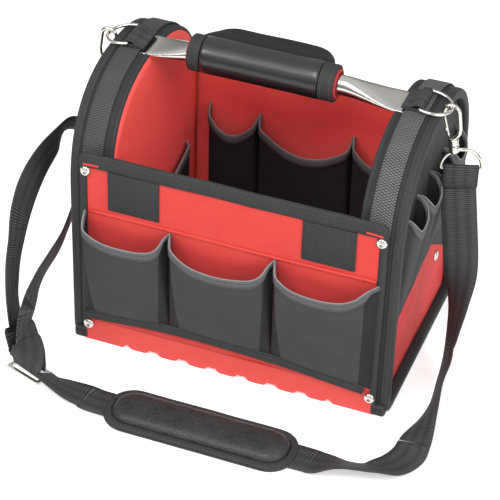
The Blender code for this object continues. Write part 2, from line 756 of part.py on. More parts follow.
def build_band_webbing(side, out):
    """Webbing sewn along the middle of a band, over the arch from front to back."""
    lower = [(half_depth(GAP), BAND_WEBBING_LOW)] + arch_points(-GAP)
    lower.append((-half_depth(GAP), BAND_WEBBING_LOW))
    upper = [(half_depth(WEBBING_TOP), BAND_WEBBING_LOW)] + arch_points(-WEBBING_TOP)
    upper.append((-half_depth(WEBBING_TOP), BAND_WEBBING_LOW))
    middle = band_middle(out)
    half = BAND_WEBBING_WIDTH / 2
    strip = prism(f"band_webbing_{side}", lower + upper[::-1], "X", middle - half, middle + half,
                  WEBBING_LOOK)
    for face in (-1, 1):
        near = face * (BAG_DEPTH / 2 - PANEL_THICK - OVERRUN)
        far = face * (BAG_DEPTH / 2 + OVERRUN)
        cutter = box(f"webbing_trim_{side}_{face}", (middle - END_OUTER, min(near, far), -OVERRUN),
                     (middle + END_OUTER, max(near, far), PANEL_TOP + OVERRUN))
        combine(strip, cutter, "DIFFERENCE")
    return strip


def half_depth(over):
    """Return half the depth of an end at a height over its surface."""
    return BAG_DEPTH / 2 - PANEL_THICK - GAP + over


def build_keeper(side, out):
    """Short webbing across the top of the arch that holds the bar of the D ring."""
    middle = band_middle(out)
    low = ARCH_TOP + WEBBING_TOP + GAP
    bar_x = out * RING_BAR_PLACE
    radius = WIRE_RADIUS + GAP
    bar_z = RING_BAR_HIGH
    wrap = radius + WEBBING_THICK
    inner = middle - out * KEEPER_WIDTH / 2
    steps = 6
    outline = [(inner, low), (bar_x, low)]
    for k in range(1, steps + 1):
        turn = -pi / 2 + k / steps * pi
        outline.append((bar_x + out * wrap * cos(turn), bar_z + wrap * sin(turn)))
    outline += [(bar_x - out * wrap * 2, bar_z + wrap), (inner, low + WEBBING_THICK * 2)]
    half = KEEPER_LENGTH / 2
    keeper = prism(f"ring_keeper_{side}", outline, "Y", -half, half, WEBBING_LOOK)
    bore = cylinder(f"keeper_bore_{side}", radius, (bar_x, -half - OVERRUN, bar_z),
                    (bar_x, half + OVERRUN, bar_z), sides=12)
    combine(keeper, bore, "DIFFERENCE")
    return keeper


RING_BAR_HIGH = ARCH_TOP + WEBBING_TOP + GAP + WEBBING_THICK + GAP + WIRE_RADIUS


def bar_section(along):
    """Return the half width and half height of the handle bar at a distance from its middle."""
    flare_start = END_INNER - BLADE_FLARE
    share = (abs(along) - flare_start) / BLADE_FLARE
    share = max(0.0, min(1.0, share))
    share = share * share * (3 - 2 * share)
    wide = BAR_RADIUS + (BLADE_WIDTH / 2 - BAR_RADIUS) * share
    tall = BAR_RADIUS + (BLADE_THICK / 2 - BAR_RADIUS) * share
    high = BAR_HIGH + (BLADE_MIDDLE - BAR_HIGH) * share
    return wide, tall, high


def build_handle():
    """Metal tube with flattened, flared ends, and the padded grip wrapped round its middle."""
    tip = END_INNER + BLADE_GRASP
    flare_start = END_INNER - BLADE_FLARE
    steps = 8
    places = [-tip, -END_INNER]
    places += [-END_INNER + BLADE_FLARE * k / steps for k in range(1, steps + 1)]
    places += [flare_start + BLADE_FLARE * k / steps for k in range(steps)]
    places += [END_INNER, tip]
    sections = []
    for along in places:
        wide, tall, high = bar_section(along)
        share = (wide - BAR_RADIUS) / (BLADE_WIDTH / 2 - BAR_RADIUS)
        power = 1 - BLADE_SQUARE_SHARE * share
        ring = []
        for k in range(ROUND_SIDES):
            turn = 2 * pi * k / ROUND_SIDES
            across = abs(cos(turn)) ** power
            rise = abs(sin(turn)) ** power
            ring.append(Vector((along, wide * across * (1 if cos(turn) > 0 else -1),
                                high + tall * rise * (1 if sin(turn) > 0 else -1))))
        sections.append(ring)
    loft("handle_bar", sections, METAL_LOOK)
    build_grip()


def build_grip():
    """Grip sleeve with the padded fin of its wrap behind it."""
    fin_low = BAR_HIGH + FIN_RISE
    fin_high = fin_low + FIN_THICK
    sleeve = cylinder("grip_sleeve", GRIP_RADIUS, (GRIP_START, 0, BAR_HIGH),
                      (GRIP_END, 0, BAR_HIGH), LEATHER_LOOK, sides=24)
    low_x = GRIP_START + FIN_CORNER
    high_x = GRIP_END - FIN_CORNER
    flap = [(GRIP_START, 0), (GRIP_END, 0)]
    flap += arc((high_x, FIN_REACH - FIN_CORNER), FIN_CORNER, 0, pi / 2, CORNER_STEPS)
    flap += arc((low_x, FIN_REACH - FIN_CORNER), FIN_CORNER, pi / 2, pi, CORNER_STEPS)
    fin = prism("fin_tool", flap, "Z", fin_low, fin_high, None)
    combine(sleeve, fin, "UNION")
    bore = cylinder("grip_bore", GRIP_BORE, (GRIP_START - OVERRUN, 0, BAR_HIGH),
                    (GRIP_END + OVERRUN, 0, BAR_HIGH), sides=24)
    combine(sleeve, bore, "DIFFERENCE")
    return sleeve


def ring_point(side, reach, across):
    """Return a point in the plane of a D ring, from its bar outwards."""
    return Vector((side * (RING_BAR_PLACE + reach * cos(RING_DROP)), across,
                   RING_BAR_HIGH - reach * sin(RING_DROP)))


def build_ring(name, side):
    """D ring of bent wire, its bar in the keeper and its bow outwards."""
    half = RING_WIDTH / 2
    leg = RING_REACH - half
    points = [ring_point(side, 0, -half), ring_point(side, 0, half)]
    points += [ring_point(side, leg + half * sin(turn), half * cos(turn))
               for turn in [pi * k / 12 for k in range(13)]]
    return wire(name, points, WIRE_RADIUS, METAL_LOOK, closed=True)


def hook_up(side):
    """Return the direction of a hook's long axis, from its collar to its top."""
    return Vector((-side * sin(HOOK_LEAN), 0, cos(HOOK_LEAN)))


def hook_origin(side):
    """Return the top of a hook's collar; the hook hangs on the bow of its D ring."""
    bow = ring_point(side, RING_REACH, 0)
    return bow + hook_up(side) * (WIRE_RADIUS + HOOK_RADIUS + GAP - HOOK_TALL)


def hook_point(side, across, high):
    """Return a point in the plane of a hook, outwards and along its axis."""
    outwards = Vector((side * cos(HOOK_LEAN), 0, sin(HOOK_LEAN)))
    return hook_origin(side) + outwards * across + hook_up(side) * high


GATE_FOOT = GATE_RADIUS + GAP
HOOK_ARC_HIGH = HOOK_TALL - HOOK_HALF
HOOK_TIP_HIGH = HOOK_ARC_HIGH - HOOK_HALF / 2


def build_hook(label, side):
    """Snap hook with its collar and bent body, and its sprung gate."""
    half = HOOK_HALF
    body = [(0, -COLLAR_TALL / 2), (0, 0)]
    body += [(half * across, half * high) for across, high in HOOK_SHOULDER_SHARES]
    body += [(half * cos(turn), HOOK_ARC_HIGH + half * sin(turn))
             for turn in [pi * k / 8 for k in range(9)]]
    body.append((-half, HOOK_TIP_HIGH))
    points = [hook_point(side, across, high) for across, high in body]
    bow = as_mesh(wire(f"hook_bow_{label}", points, HOOK_RADIUS, None))
    foot = hook_point(side, 0, -COLLAR_TALL)
    collar = cylinder(f"hook_{label}", COLLAR_RADIUS, foot, hook_origin(side), METAL_LOOK, sides=16)
    combine(collar, bow, "UNION")
    bore = cylinder(f"collar_bore_{label}", COLLAR_BORE, hook_point(side, 0, -COLLAR_TALL - OVERRUN),
                    hook_point(side, 0, STUD_LENGTH + GAP - COLLAR_TALL), sides=16)
    combine(collar, bore, "DIFFERENCE")
    tip = hook_point(side, -half, HOOK_TIP_HIGH - GAP)
    gate = wire(f"gate_{label}", [gate_axis(side), tip], GATE_RADIUS, METAL_LOOK)
    return collar, gate


def gate_axis(side):
    """Return the point on a gate's hinge axis."""
    return hook_point(side, GATE_RADIUS - COLLAR_RADIUS, GATE_FOOT)


def eye_top(side):
    """Return the top of a strap eye, inside the flange of its stud."""
    return hook_point(side, 0, WIRE_RADIUS - COLLAR_TALL - GAP - STUD_FLANGE_TALL)


def eye_middle(side):
    """Return the middle of the half ring of a strap eye."""
    wide, hang, shift = EYE_WAYS[side]
    half = EYE_WIDTH / 2
    return eye_top(side) + wide * half * sin(shift) + hang * half * cos(shift)


def eye_bar(side):
    """Return the middle of the straight bar of a strap eye."""
    hang = EYE_WAYS[side][1]
    return eye_middle(side) + hang * (EYE_DROP - EYE_WIDTH / 2)


def eye_points(side):
    """Return the wire of the strap eye, a half ring over a straight bar."""
    wide, hang, _ = EYE_WAYS[side]
    half = EYE_WIDTH / 2
    points = [eye_middle(side) + wide * half * sin(turn) - hang * half * cos(turn)
              for turn in [pi / 2 * k / 6 for k in range(-6, 7)]]
    drop = hang * (EYE_DROP - half)
    points += [points[-1] + drop, points[0] + drop]
    return points


def build_eye(label, side):
    """Swivel stud with the half ring that the strap is sewn to."""
    loop = as_mesh(wire(f"eye_loop_{label}", eye_points(side), WIRE_RADIUS, None, closed=True))
    flange = cylinder(f"swivel_eye_{label}", STUD_FLANGE,
                      hook_point(side, 0, -COLLAR_TALL - GAP - STUD_FLANGE_TALL),
                      hook_point(side, 0, -COLLAR_TALL - GAP), METAL_LOOK, sides=16)
    stud = cylinder(f"stud_{label}", STUD_RADIUS,
                    hook_point(side, 0, -COLLAR_TALL - STUD_FLANGE_TALL / 2),
                    hook_point(side, 0, STUD_LENGTH - GAP - COLLAR_TALL), sides=12)
    combine(flange, loop, "UNION")
    combine(flange, stud, "UNION")
    return flange


def build_sewn_end(name, side):
    """Webbing folded round the eye bar and stitched to itself, hanging the way that the eye does."""
    wide, hang, _ = EYE_WAYS[side]
    middle = eye_bar(side)
    thin = wide.cross(hang)
    radius = WIRE_RADIUS + GAP + STRAP_THICK
    steps = 6
    outline = [(-radius, -SEWN_TALL + radius), (radius, -SEWN_TALL + radius)]
    outline += arc((0, 0), radius, 0, pi, steps)
    half = STRAP_WIDTH / 2
    sections = [[middle + wide * far + thin * across - hang * high for across, high in outline]
                for far in (-half, half)]
    sewn = loft(name, sections, WEBBING_LOOK, smooth=False)
    bore = cylinder(f"bore_{name}", WIRE_RADIUS + GAP, middle - wide * STRAP_WIDTH,
                    middle + wide * STRAP_WIDTH, sides=12)
    combine(sewn, bore, "DIFFERENCE")
    return sewn


RIGHT_WIDE = Vector((cos(STRAP_TURN), sin(STRAP_TURN), 0))
RIGHT_HANG = Vector((0, 0, -1))
LEFT_HANG = Vector((-0.05, -0.20, -0.98)).normalized()
LEFT_WIDE = (Vector((0, 1, 0)) - LEFT_HANG * LEFT_HANG.y).normalized()
EYE_WAYS = {-1: (LEFT_WIDE, LEFT_HANG, 0.0), 1: (RIGHT_WIDE, RIGHT_HANG, EYE_SHIFT)}


def build_fittings():
    """D rings, hooks, gates and strap eyes of both ends, on their joint empties."""
    for label, side in (("left", -1), ("right", 1)):
        ring = build_ring(f"d_ring_{label}", side)
        collar, gate = build_hook(label, side)
        eye = build_eye(label, side)
        sewn = build_sewn_end(f"strap_end_{label}", side)
        ring_axis = joint_empty(f"ring_axis_{label}", ring_point(side, 0, 0))
        hook_axis = joint_empty(f"hook_axis_{label}", hook_origin(side))
        gate_hinge = joint_empty(f"gate_axis_{label}", gate_axis(side))
        carry(gate_hinge, gate)
        carry(hook_axis, collar, gate_hinge)
        carry(ring_axis, ring, eye, sewn, hook_axis)


def route(shares):
    """Return a strap route and its width directions from shares of the strap's reach."""
    points = [(x * STRAP_OUT, y * STRAP_FRONT, z * STRAP_HIGH) for (x, y, z), _ in shares]
    return points, [side for _, side in shares]


def strap_run(name, shares, first=None, hang=None, last=None):
    """Sweep one run of the shoulder strap; it leaves its sewn end straight and ends at a given point."""
    points, sides = route(shares)
    if first:
        points[:2] = [first, first + hang * STRAP_LEAD]
    if last:
        points[-1] = last
    return ribbon(name, points, sides, STRAP_WIDTH, STRAP_THICK, WEBBING_LOOK)


def build_slider():
    """Flat slider with two slots for the webbing, lying at the front left corner."""
    turn = Matrix.Translation((SLIDER_OUT, SLIDER_FRONT, SLIDER_LOW)) @ Matrix.Rotation(SLIDER_TURN, 4, "Z")
    half = SLIDER_WIDE / 2
    deep = SLIDER_LONG / 2
    frame = box("slider", (-half, -deep, 0), (half, deep, SLIDER_THICK), METAL_LOOK)
    frame.data.transform(turn)
    for side in (-1, 1):
        near = side * SLIDER_BAR / 2
        far = side * (deep - SLIDER_BAR)
        slot = box(f"slider_slot_{side}", (SLIDER_BAR - half, min(near, far), -OVERRUN),
                   (half - SLIDER_BAR, max(near, far), SLIDER_THICK + OVERRUN))
        slot.data.transform(turn)
        combine(frame, slot, "DIFFERENCE")
    return frame, turn


def build_pad():
    """Crowned shoulder pad with a tunnel for the strap."""
    sections = []
    for high, inset in ((0, 0), (PAD_EDGE_HIGH, 0), (PAD_SHOULDER_HIGH, PAD_CROWN_INSET / 2),
                        (PAD_THICK, PAD_CROWN_INSET)):
        half = PAD_WIDTH / 2 - inset
        radius = PAD_ROUND - inset / 2
        outline = []
        for x, y, start in ((PAD_END - inset - radius, half - radius, 0),
                            (PAD_START + inset + radius, half - radius, pi / 2),
                            (PAD_START + inset + radius, radius - half, pi),
                            (PAD_END - inset - radius, radius - half, 1.5 * pi)):
            outline += arc((x, y), radius, start, start + pi / 2, CORNER_STEPS)
        sections.append([Vector((x, y - STRAP_FRONT, high)) for x, y in outline])
    pad = loft("shoulder_pad", sections, LEATHER_LOOK)
    slot = box("pad_slot", (PAD_START - OVERRUN, -STRAP_FRONT - PAD_SLOT_WIDE / 2, PAD_SLOT_LOW),
               (PAD_END + OVERRUN, PAD_SLOT_WIDE / 2 - STRAP_FRONT, PAD_SLOT_LOW + PAD_SLOT_HIGH))
    combine(pad, slot, "DIFFERENCE")
    return pad


def build_strap():
    """Shoulder strap from the right eye over the ground to the slider and the left eye."""
    below = SEWN_TALL - WIRE_RADIUS - STRAP_THICK + 2 * GAP
    apart = (WIRE_RADIUS + GAP + STRAP_THICK / 2) * LEFT_WIDE.cross(LEFT_HANG)
    left_top = eye_bar(-1) + LEFT_HANG * below
    strap_run("strap_right_drop", RIGHT_DROP_SHARES, first=eye_bar(1) + RIGHT_HANG * below,
              hang=RIGHT_HANG)
    strap_run("strap_front", FRONT_SHARES)
    frame, turn = build_slider()
    slot = (SLIDER_LONG / 2 - SLIDER_BAR / 2) / 2
    high = SLIDER_THICK + STRAP_THICK
    strap_run("strap_left_outer", OUTER_RUN_SHARES, first=left_top + apart,
              hang=LEFT_HANG, last=turn @ Vector((0, slot, high)))
    strap_run("strap_left_inner", INNER_RUN_SHARES, first=left_top - apart,
              hang=LEFT_HANG, last=turn @ Vector((0, -slot, high)))
    pad = build_pad()
    slider_axis = joint_empty("slider_axis", (SLIDER_OUT, SLIDER_FRONT, SLIDER_LOW))
    pad_axis = joint_empty("pad_axis", ((PAD_START + PAD_END) / 2, -STRAP_FRONT, 0))
    carry(slider_axis, frame)
    carry(pad_axis, pad)


clear_scene()
tray = build_base()
front = build_panel("front_panel", -1)
back = build_panel("back_panel", 1)
panel_rivets = rivet_places()
set_rivets(front, panel_rivets["front_upper"], PANEL_THICK)
set_rivets(tray, panel_rivets["front_lower"], PANEL_THICK)
set_rivets(back, panel_rivets["back_upper"], PANEL_THICK)
build_binding("top_binding_front", -1)
build_binding("top_binding_back", 1)
build_strip("pocket_strip_front", -1)
build_strip("pocket_strip_back", 1)
build_patch("loop_patch_left", -PATCH_PLACE)
build_patch("loop_patch_right", PATCH_PLACE)
build_end("left", -1)
build_end("right", 1)
build_handle()
build_panel_pockets()
build_inner_pockets()
build_side_pockets()
build_fittings()
build_strap()
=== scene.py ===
"""Looks of the open tool bag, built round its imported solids. Metres, +Z up, front towards -Y."""
from dataclasses import dataclass
from math import cos, pi, radians, sin

import bmesh
import bpy
from mathutils import Matrix, Vector, noise


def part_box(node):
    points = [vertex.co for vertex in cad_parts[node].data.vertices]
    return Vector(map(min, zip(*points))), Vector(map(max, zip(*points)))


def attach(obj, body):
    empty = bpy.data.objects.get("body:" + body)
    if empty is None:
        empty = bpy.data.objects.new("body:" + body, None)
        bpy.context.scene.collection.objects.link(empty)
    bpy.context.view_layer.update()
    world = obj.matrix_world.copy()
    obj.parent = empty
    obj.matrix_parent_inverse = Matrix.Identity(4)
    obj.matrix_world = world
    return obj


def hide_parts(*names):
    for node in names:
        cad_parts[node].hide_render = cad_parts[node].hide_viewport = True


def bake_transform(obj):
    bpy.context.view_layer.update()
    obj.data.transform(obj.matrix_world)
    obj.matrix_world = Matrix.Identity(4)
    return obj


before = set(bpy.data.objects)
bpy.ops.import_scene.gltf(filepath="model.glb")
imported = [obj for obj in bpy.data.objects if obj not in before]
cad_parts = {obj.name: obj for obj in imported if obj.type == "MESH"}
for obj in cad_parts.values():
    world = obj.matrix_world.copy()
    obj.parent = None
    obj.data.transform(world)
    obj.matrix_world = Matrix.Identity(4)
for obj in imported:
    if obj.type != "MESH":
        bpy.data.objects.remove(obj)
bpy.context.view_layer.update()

# Sizes that the part's source gives
FACE = 0.1328
PANEL_THICK = 0.003
PANEL_HALF = 0.180
PANEL_TOP = 0.2625
SKIRT_TOP = 0.030
END_INNER = 0.1442
END_OUTER = 0.1916
ARCH_SPRING = 0.206
ARCH_TOP = 0.337
ARCH_POWER = 2.44
BAND_THICK = 0.0065
GAP = 0.0003
HALF_DEPTH = FACE - PANEL_THICK - GAP
BAND_MIDDLE = (END_INNER + END_OUTER) / 2
WEBBING_THICK = 0.0018
WEBBING_WIDTH = 0.025
BLADE_MIDDLE = 0.3347
BAR_HIGH = 0.3390
BAR_RADIUS = 0.0115
GRIP_START = -0.100
GRIP_END = 0.072
WIRE_RADIUS = 0.0020
RING_BAR = Vector((0.172, 0, 0.3435))
RING_DROP = radians(8)
RING_REACH = 0.031
RING_HALF = 0.022
EYE_HALF = 0.02275
EYE_DROP = 0.0245
HOOK_LEAN = radians(8)
HOOK_TALL = 0.042
HOOK_HALF = 0.0085
HOOK_RADIUS = 0.0025
STRAP_WIDTH = 0.040
STRAP_THICK = 0.0018
FOLD_THICK = 0.0017
STRAP_OUT = 0.235
STRAP_FRONT = 0.236
STRAP_HIGH = 0.240

# Sizes of the looks alone
MERGE = 0.000002
END_CORNER = 0.006
END_RECESS = 0.007
END_FACE = END_OUTER - END_RECESS

ENDS = (("left", -1), ("right", 1))
FACES = (("front", -1), ("back", 1))
ALONG = Vector((1, 0, 0))
ACROSS = Vector((0, 1, 0))
UP = Vector((0, 0, 1))


# ---- finishes

class Value:
    """A number that changes over a surface; sums of such numbers add their own nodes."""

    def __init__(self, finish, socket):
        self.finish = finish
        self.socket = socket

    def work(self, operation, *parts):
        return self.finish.node("ShaderNodeMath", {"operation": operation}, dict(enumerate(parts)))

    def __add__(self, other):
        return self.work("ADD", self, other)

    def __mul__(self, other):
        return self.work("MULTIPLY", self, other)

    def sine(self):
        return self.work("SINE", self)

    def size(self):
        return self.work("ABSOLUTE", self)

    def step(self, low, high):
        return self.finish.node("ShaderNodeMapRange", {"interpolation_type": "SMOOTHSTEP"},
                                {"Value": self, "From Min": low, "From Max": high})


class Finish:
    """A procedural material of one of the bag's stuffs, with the name of a slot that it keeps."""

    def __init__(self, name, slot=None, metallic=0.0):
        self.slot = slot
        self.material = bpy.data.materials.new(name)
        self.material.use_nodes = True
        self.tree = self.material.node_tree
        self.shader = self.tree.nodes["Principled BSDF"]
        self.give("Metallic", metallic)

    def feed(self, socket, value):
        if isinstance(value, Value):
            self.tree.links.new(value.socket, socket)
        else:
            colour = isinstance(value, tuple)
            socket.default_value = (*[part / 1000 for part in value], 1.0) if colour else value

    def give(self, name, value):
        self.feed(self.shader.inputs[name], value)

    def node(self, kind, settings=None, sockets=None, out=0):
        made = self.tree.nodes.new(kind)
        for name, setting in (settings or {}).items():
            setattr(made, name, setting)
        for key, value in (sockets or {}).items():
            self.feed(made.inputs[key], value)
        return Value(self, made.outputs[out])

    def mix(self, share, first, second):
        return self.node("ShaderNodeMix", {"data_type": "RGBA"}, {0: share, 6: first, 7: second}, 2)

    def cloth_axes(self):
        uv = self.node("ShaderNodeUVMap", {"uv_map": "UVMap"})
        return [self.node("ShaderNodeSeparateXYZ", None, {0: uv}, k) for k in (0, 1)]

    def place(self):
        return self.node("ShaderNodeTexCoord", None, None, 3)

    def cloud(self, scale, detail=3.0, roughness=0.5):
        return self.node("ShaderNodeTexNoise", None,
                         {"Vector": self.place(), "Scale": scale, "Detail": detail, "Roughness": roughness})

    def dress(self, tone, roughness, specular, relief, strength, depth):
        """Connect the colour, the gloss and the relief."""
        self.give("Base Color", tone)
        self.give("Roughness", roughness)
        self.give("Specular IOR Level", specular)
        self.give("Normal", self.node("ShaderNodeBump", None,
                                      {"Height": relief, "Strength": strength, "Distance": depth}))
        return self


def canvas(name, colour, shade, slot=None, pitch=0.0011, cloudy=0.35):
    """Plain-woven polyester with a faint mottle."""
    made = Finish(name, slot)
    warp, weft = [(axis * (2 * pi / pitch)).sine() for axis in made.cloth_axes()]
    weave = warp * weft * 0.5 + 0.5
    mottle = made.cloud(38.0, 4.0)
    tone = made.mix(weave * 0.30 + mottle * cloudy, colour, shade)
    return made.dress(tone, mottle * 0.18 + 0.63, 0.22, weave + mottle * 0.5, 0.35, 0.00018)


def ribbed(name, colour, light, slot, pitch, dot, relief, stagger=0.0):
    """Webbing or tape with ribs across it; stagger shifts its threads from row to row."""
    made = Finish(name, slot)
    across, along = made.cloth_axes()
    if stagger:
        column = made.node("ShaderNodeMath", {"operation": "FLOOR"}, {0: across * (1 / dot)})
        along = along + (column * (pi / 2)).sine().size() * (pitch * stagger)
    rib = (along * (pi / pitch)).sine().size()
    thread = (across * (pi / dot)).sine().size()
    weave = made.node("ShaderNodeMath", {"operation": "POWER"}, {0: rib, 1: 1.6}) * (thread * 0.5 + 0.5)
    wear = made.cloud(60.0)
    tone = made.mix(weave * 0.75 + wear * 0.2, colour, light)
    return made.dress(tone, wear * 0.2 + 0.56, 0.25, weave, relief, 0.0005)


def grained(name, colour, light, scale, roughness, coat=0.0):
    """Imitation leather with a fine pebbled grain."""
    made = Finish(name, "wrap")
    spots = made.node("ShaderNodeTexVoronoi", {"feature": "DISTANCE_TO_EDGE"},
                      {"Vector": made.place(), "Scale": scale})
    wear = made.cloud(45.0, 5.0)
    crease = spots.step(0.0, 0.25)
    made.give("Coat Weight", coat)
    made.give("Coat Roughness", 0.22)
    return made.dress(made.mix(crease * 0.4 + wear * 0.4, colour, light), wear * 0.25 + (roughness - 0.12), 0.3,
                      crease + wear * 0.6, 0.35, 0.0004)


def moulded(name, colour, shade, roughness, slot=None):
    """Semi-matt plastic with a light moulded texture."""
    made = Finish(name, slot)
    fine = made.cloud(900.0, 2.0)
    return made.dress(made.mix(made.cloud(30.0, 4.0) * 0.6, colour, shade), fine * 0.2 + (roughness - 0.1), 0.3,
                      fine, 0.15, 0.0002)


def plated(name, colour, worn, roughness):
    """Polished nickel plate with faint wear."""
    made = Finish(name, "chrome", 1.0)
    wear = made.cloud(120.0, 5.0, 0.6)
    return made.dress(made.mix(wear * 0.35, colour, worn), wear * 0.14 + (roughness - 0.05), 0.5,
                      wear, 0.05, 0.0003)


# Colours are in thousandths of red, green and blue
RED_CLOTH = canvas("red_canvas", (630, 62, 53), (460, 32, 28), "red_fabric", cloudy=0.5)
# Red canvas of the insides, painted brighter than the outer red as painted light against the shade inside the bag
RED_CANVAS_PAINTED_LIGHT = canvas("red_canvas_painted_light", (930, 115, 100), (800, 70, 62), "red_fabric")
POCKET_CLOTH = canvas("pocket_canvas", (52, 53, 58), (27, 27, 31), "pocket_fabric")
INNER_CLOTH = canvas("inner_canvas", (22, 22, 24), (10, 10, 11), "pocket_fabric")
# Near-black cloth of the pockets' side walls: partly dark gusset cloth, partly painted shade of the deep folds
# between the pockets
DARK_WALL_AND_SHADE_CLOTH = canvas("dark_wall_and_shade_canvas", (20, 20, 21), (10, 10, 11))
END_CLOTH = canvas("end_canvas", (38, 38, 41), (20, 20, 22), "black_fabric")
BAND_CLOTH = canvas("band_canvas", (34, 36, 39), (20, 21, 23), "black_fabric", 0.0013)
TAPE = ribbed("binding_tape", (14, 15, 15), (50, 52, 52), "black_fabric", 0.0022, 0.0048, 0.6)
TRIM = ribbed("grey_trim", (72, 74, 78), (120, 122, 128), "pocket_fabric", 0.0020, 0.0040, 0.4)
PIPING = ribbed("pale_piping", (170, 168, 163), (270, 266, 255), "pocket_fabric", 0.0018, 0.0020, 0.4)
WEBBING = ribbed("strap_webbing", (3, 3, 4), (88, 90, 92), "webbing", 0.0024, 0.0130, 0.9)
# One webbing weave in a shaded and a lit copy: the left end's threads painted darker, the right end's lighter, as
# painted shade and painted light
BAND_WEBS_LIT_AND_SHADED = {
    -1: ribbed("left_band_webbing_painted_shade", (6, 6, 7), (105, 106, 105), "webbing",
               0.0030, 0.0030, 0.9, 0.5),
    1: ribbed("right_band_webbing_painted_light", (6, 6, 7), (170, 171, 170), "webbing",
              0.0032, 0.0032, 0.9, 0.5)}
LOOP_TAPE = ribbed("loop_tape", (8, 9, 9), (66, 69, 70), "black_fabric", 0.0011, 0.0034, 0.9)
LEATHER = grained("grip_leather", (4, 4, 5), (12, 12, 13), 700.0, 0.34, 0.8)
FLAP_LEATHER = grained("flap_leather", (6, 6, 7), (18, 18, 19), 700.0, 0.62)
PAD_FACE = grained("pad_leather", (6, 6, 7), (72, 70, 71), 420.0, 0.48, 0.1)
CHROME = plated("nickel_plate", (660, 640, 600), (475.2, 460.8, 432), 0.17)
RED_PLASTIC = moulded("red_base", (620, 62, 52), (520, 42, 38), 0.55)
BOARD = moulded("base_board_black", (16, 16, 18), (28, 28, 30), 0.6, "black_fabric")
FOAM = moulded("red_foam", (420, 40, 45), (200, 20, 25), 0.9, "wrap")
DARK_THREAD, RED_THREAD, GREY_THREAD = [
    canvas(f"{name}_thread", colour, shade, pitch=0.0006) for name, colour, shade in (
        ("dark", (16, 16, 17), (30, 30, 31)),
        ("red", (600, 35, 30), (450, 20, 20)),
        ("grey", (110, 110, 110), (70, 70, 70)))]


# ---- making shapes

def mm(rows, across=0.0, high=0.0):
    """Return points given in millimetres from a place as metres."""
    return [(across + x / 1000, high + y / 1000) for x, y in rows]


def arc(radius, start, sweep, steps, across=0.0, high=0.0):
    """Return the points of an arc round a middle."""
    turns = [start + sweep * k / steps for k in range(steps + 1)]
    return [(across + radius * cos(turn), high + radius * sin(turn)) for turn in turns]


def rounded(turn, power):
    """Return the cosine and sine of a turn, both bent by a power."""
    return [abs(part) ** power * (1 if part > 0 else -1) for part in (cos(turn), sin(turn))]


def smooth_row(points, steps=6):
    """Return a smooth row of points through the given ones."""
    row = [Vector(point) for point in points]
    row = [2 * row[0] - row[1]] + row + [2 * row[-1] - row[-2]]
    result = []
    for a, b, c, d in zip(row, row[1:], row[2:], row[3:]):
        for k in range(steps):
            t = k / steps
            result.append(0.5 * (2 * b + (c - a) * t + (2 * a - 5 * b + 4 * c - d) * t ** 2
                                 + (3 * b - a - 3 * c + d) * t ** 3))
    result.append(row[-2])
    return result


def even_row(points, count):
    """Return count + 1 points at even steps along a row of points."""
    reach = [0.0]
    for first, second in zip(points, points[1:]):
        reach.append(reach[-1] + (second - first).length)
    result = []
    k = 0
    for j in range(count + 1):
        goal = reach[-1] * j / count
        while k < len(points) - 2 and reach[k + 1] < goal:
            k += 1
        share = (goal - reach[k]) / max(reach[k + 1] - reach[k], 1e-9)
        result.append(points[k].lerp(points[k + 1], min(max(share, 0.0), 1.0)))
    return result


def through(stops, share):
    """Return the height at a share of the way on a smooth line through the stops."""
    for k in range(len(stops) - 1):
        if share <= stops[k + 1][0]:
            break
    (x0, y0), (x1, y1) = stops[k], stops[k + 1]

    def slope(i):
        low, high = stops[max(i - 1, 0)], stops[min(i + 1, len(stops) - 1)]
        return (high[1] - low[1]) / (high[0] - low[0])

    wide = x1 - x0
    t = (share - x0) / wide
    return ((2 * t ** 3 - 3 * t ** 2 + 1) * y0 + (t ** 3 - 2 * t ** 2 + t) * wide * slope(k)
            + (3 * t ** 2 - 2 * t ** 3) * y1 + (t ** 3 - t ** 2) * wide * slope(k + 1))


def map_cloth(shape, first, second):
    """Lay a shape's cloth axes along two of its own directions."""
    layer = shape.loops.layers.uv.get("UVMap") or shape.loops.layers.uv.new("UVMap")
    for face in shape.faces:
        for loop in face.loops:
            loop[layer].uv = (loop.vert.co[first], loop.vert.co[second])


def surface(columns, rows, place, closed=False, flat=None, second=None):
    """Move the points of a grid to place(column, row).

    closed caps its open rims, flat lays its cloth axes along two directions, and the columns
    outside the pair second take the piece's second material.
    """
    shape = bmesh.new()
    bmesh.ops.create_grid(shape, x_segments=columns, y_segments=rows, size=0.5)
    cell = {vert: (round((vert.co.x + 0.5) * columns), round((vert.co.y + 0.5) * rows)) for vert in shape.verts}
    spots = {key: Vector(place(*key)) for key in set(cell.values())}
    wide = [(spots[i + 1, rows // 2] - spots[i, rows // 2]).length for i in range(columns)]
    long = [(spots[columns // 2, j + 1] - spots[columns // 2, j]).length for j in range(rows)]
    layer = shape.loops.layers.uv.new("UVMap")
    for face in shape.faces:
        for loop in face.loops:
            i, j = cell[loop.vert]
            loop[layer].uv = (sum(wide[:i]), sum(long[:j]))
        if second:
            column = min(cell[vert][0] for vert in face.verts)
            face.material_index = int(not second[0] <= column < second[1])
    for vert, key in cell.items():
        vert.co = spots[key]
    if flat:
        map_cloth(shape, *flat)
    bmesh.ops.remove_doubles(shape, verts=shape.verts, dist=MERGE)
    if closed:
        rims = [edge for edge in shape.edges if edge.is_boundary]
        bmesh.ops.holes_fill(shape, edges=rims, sides=0)
    bmesh.ops.recalc_face_normals(shape, faces=shape.faces)
    return shape


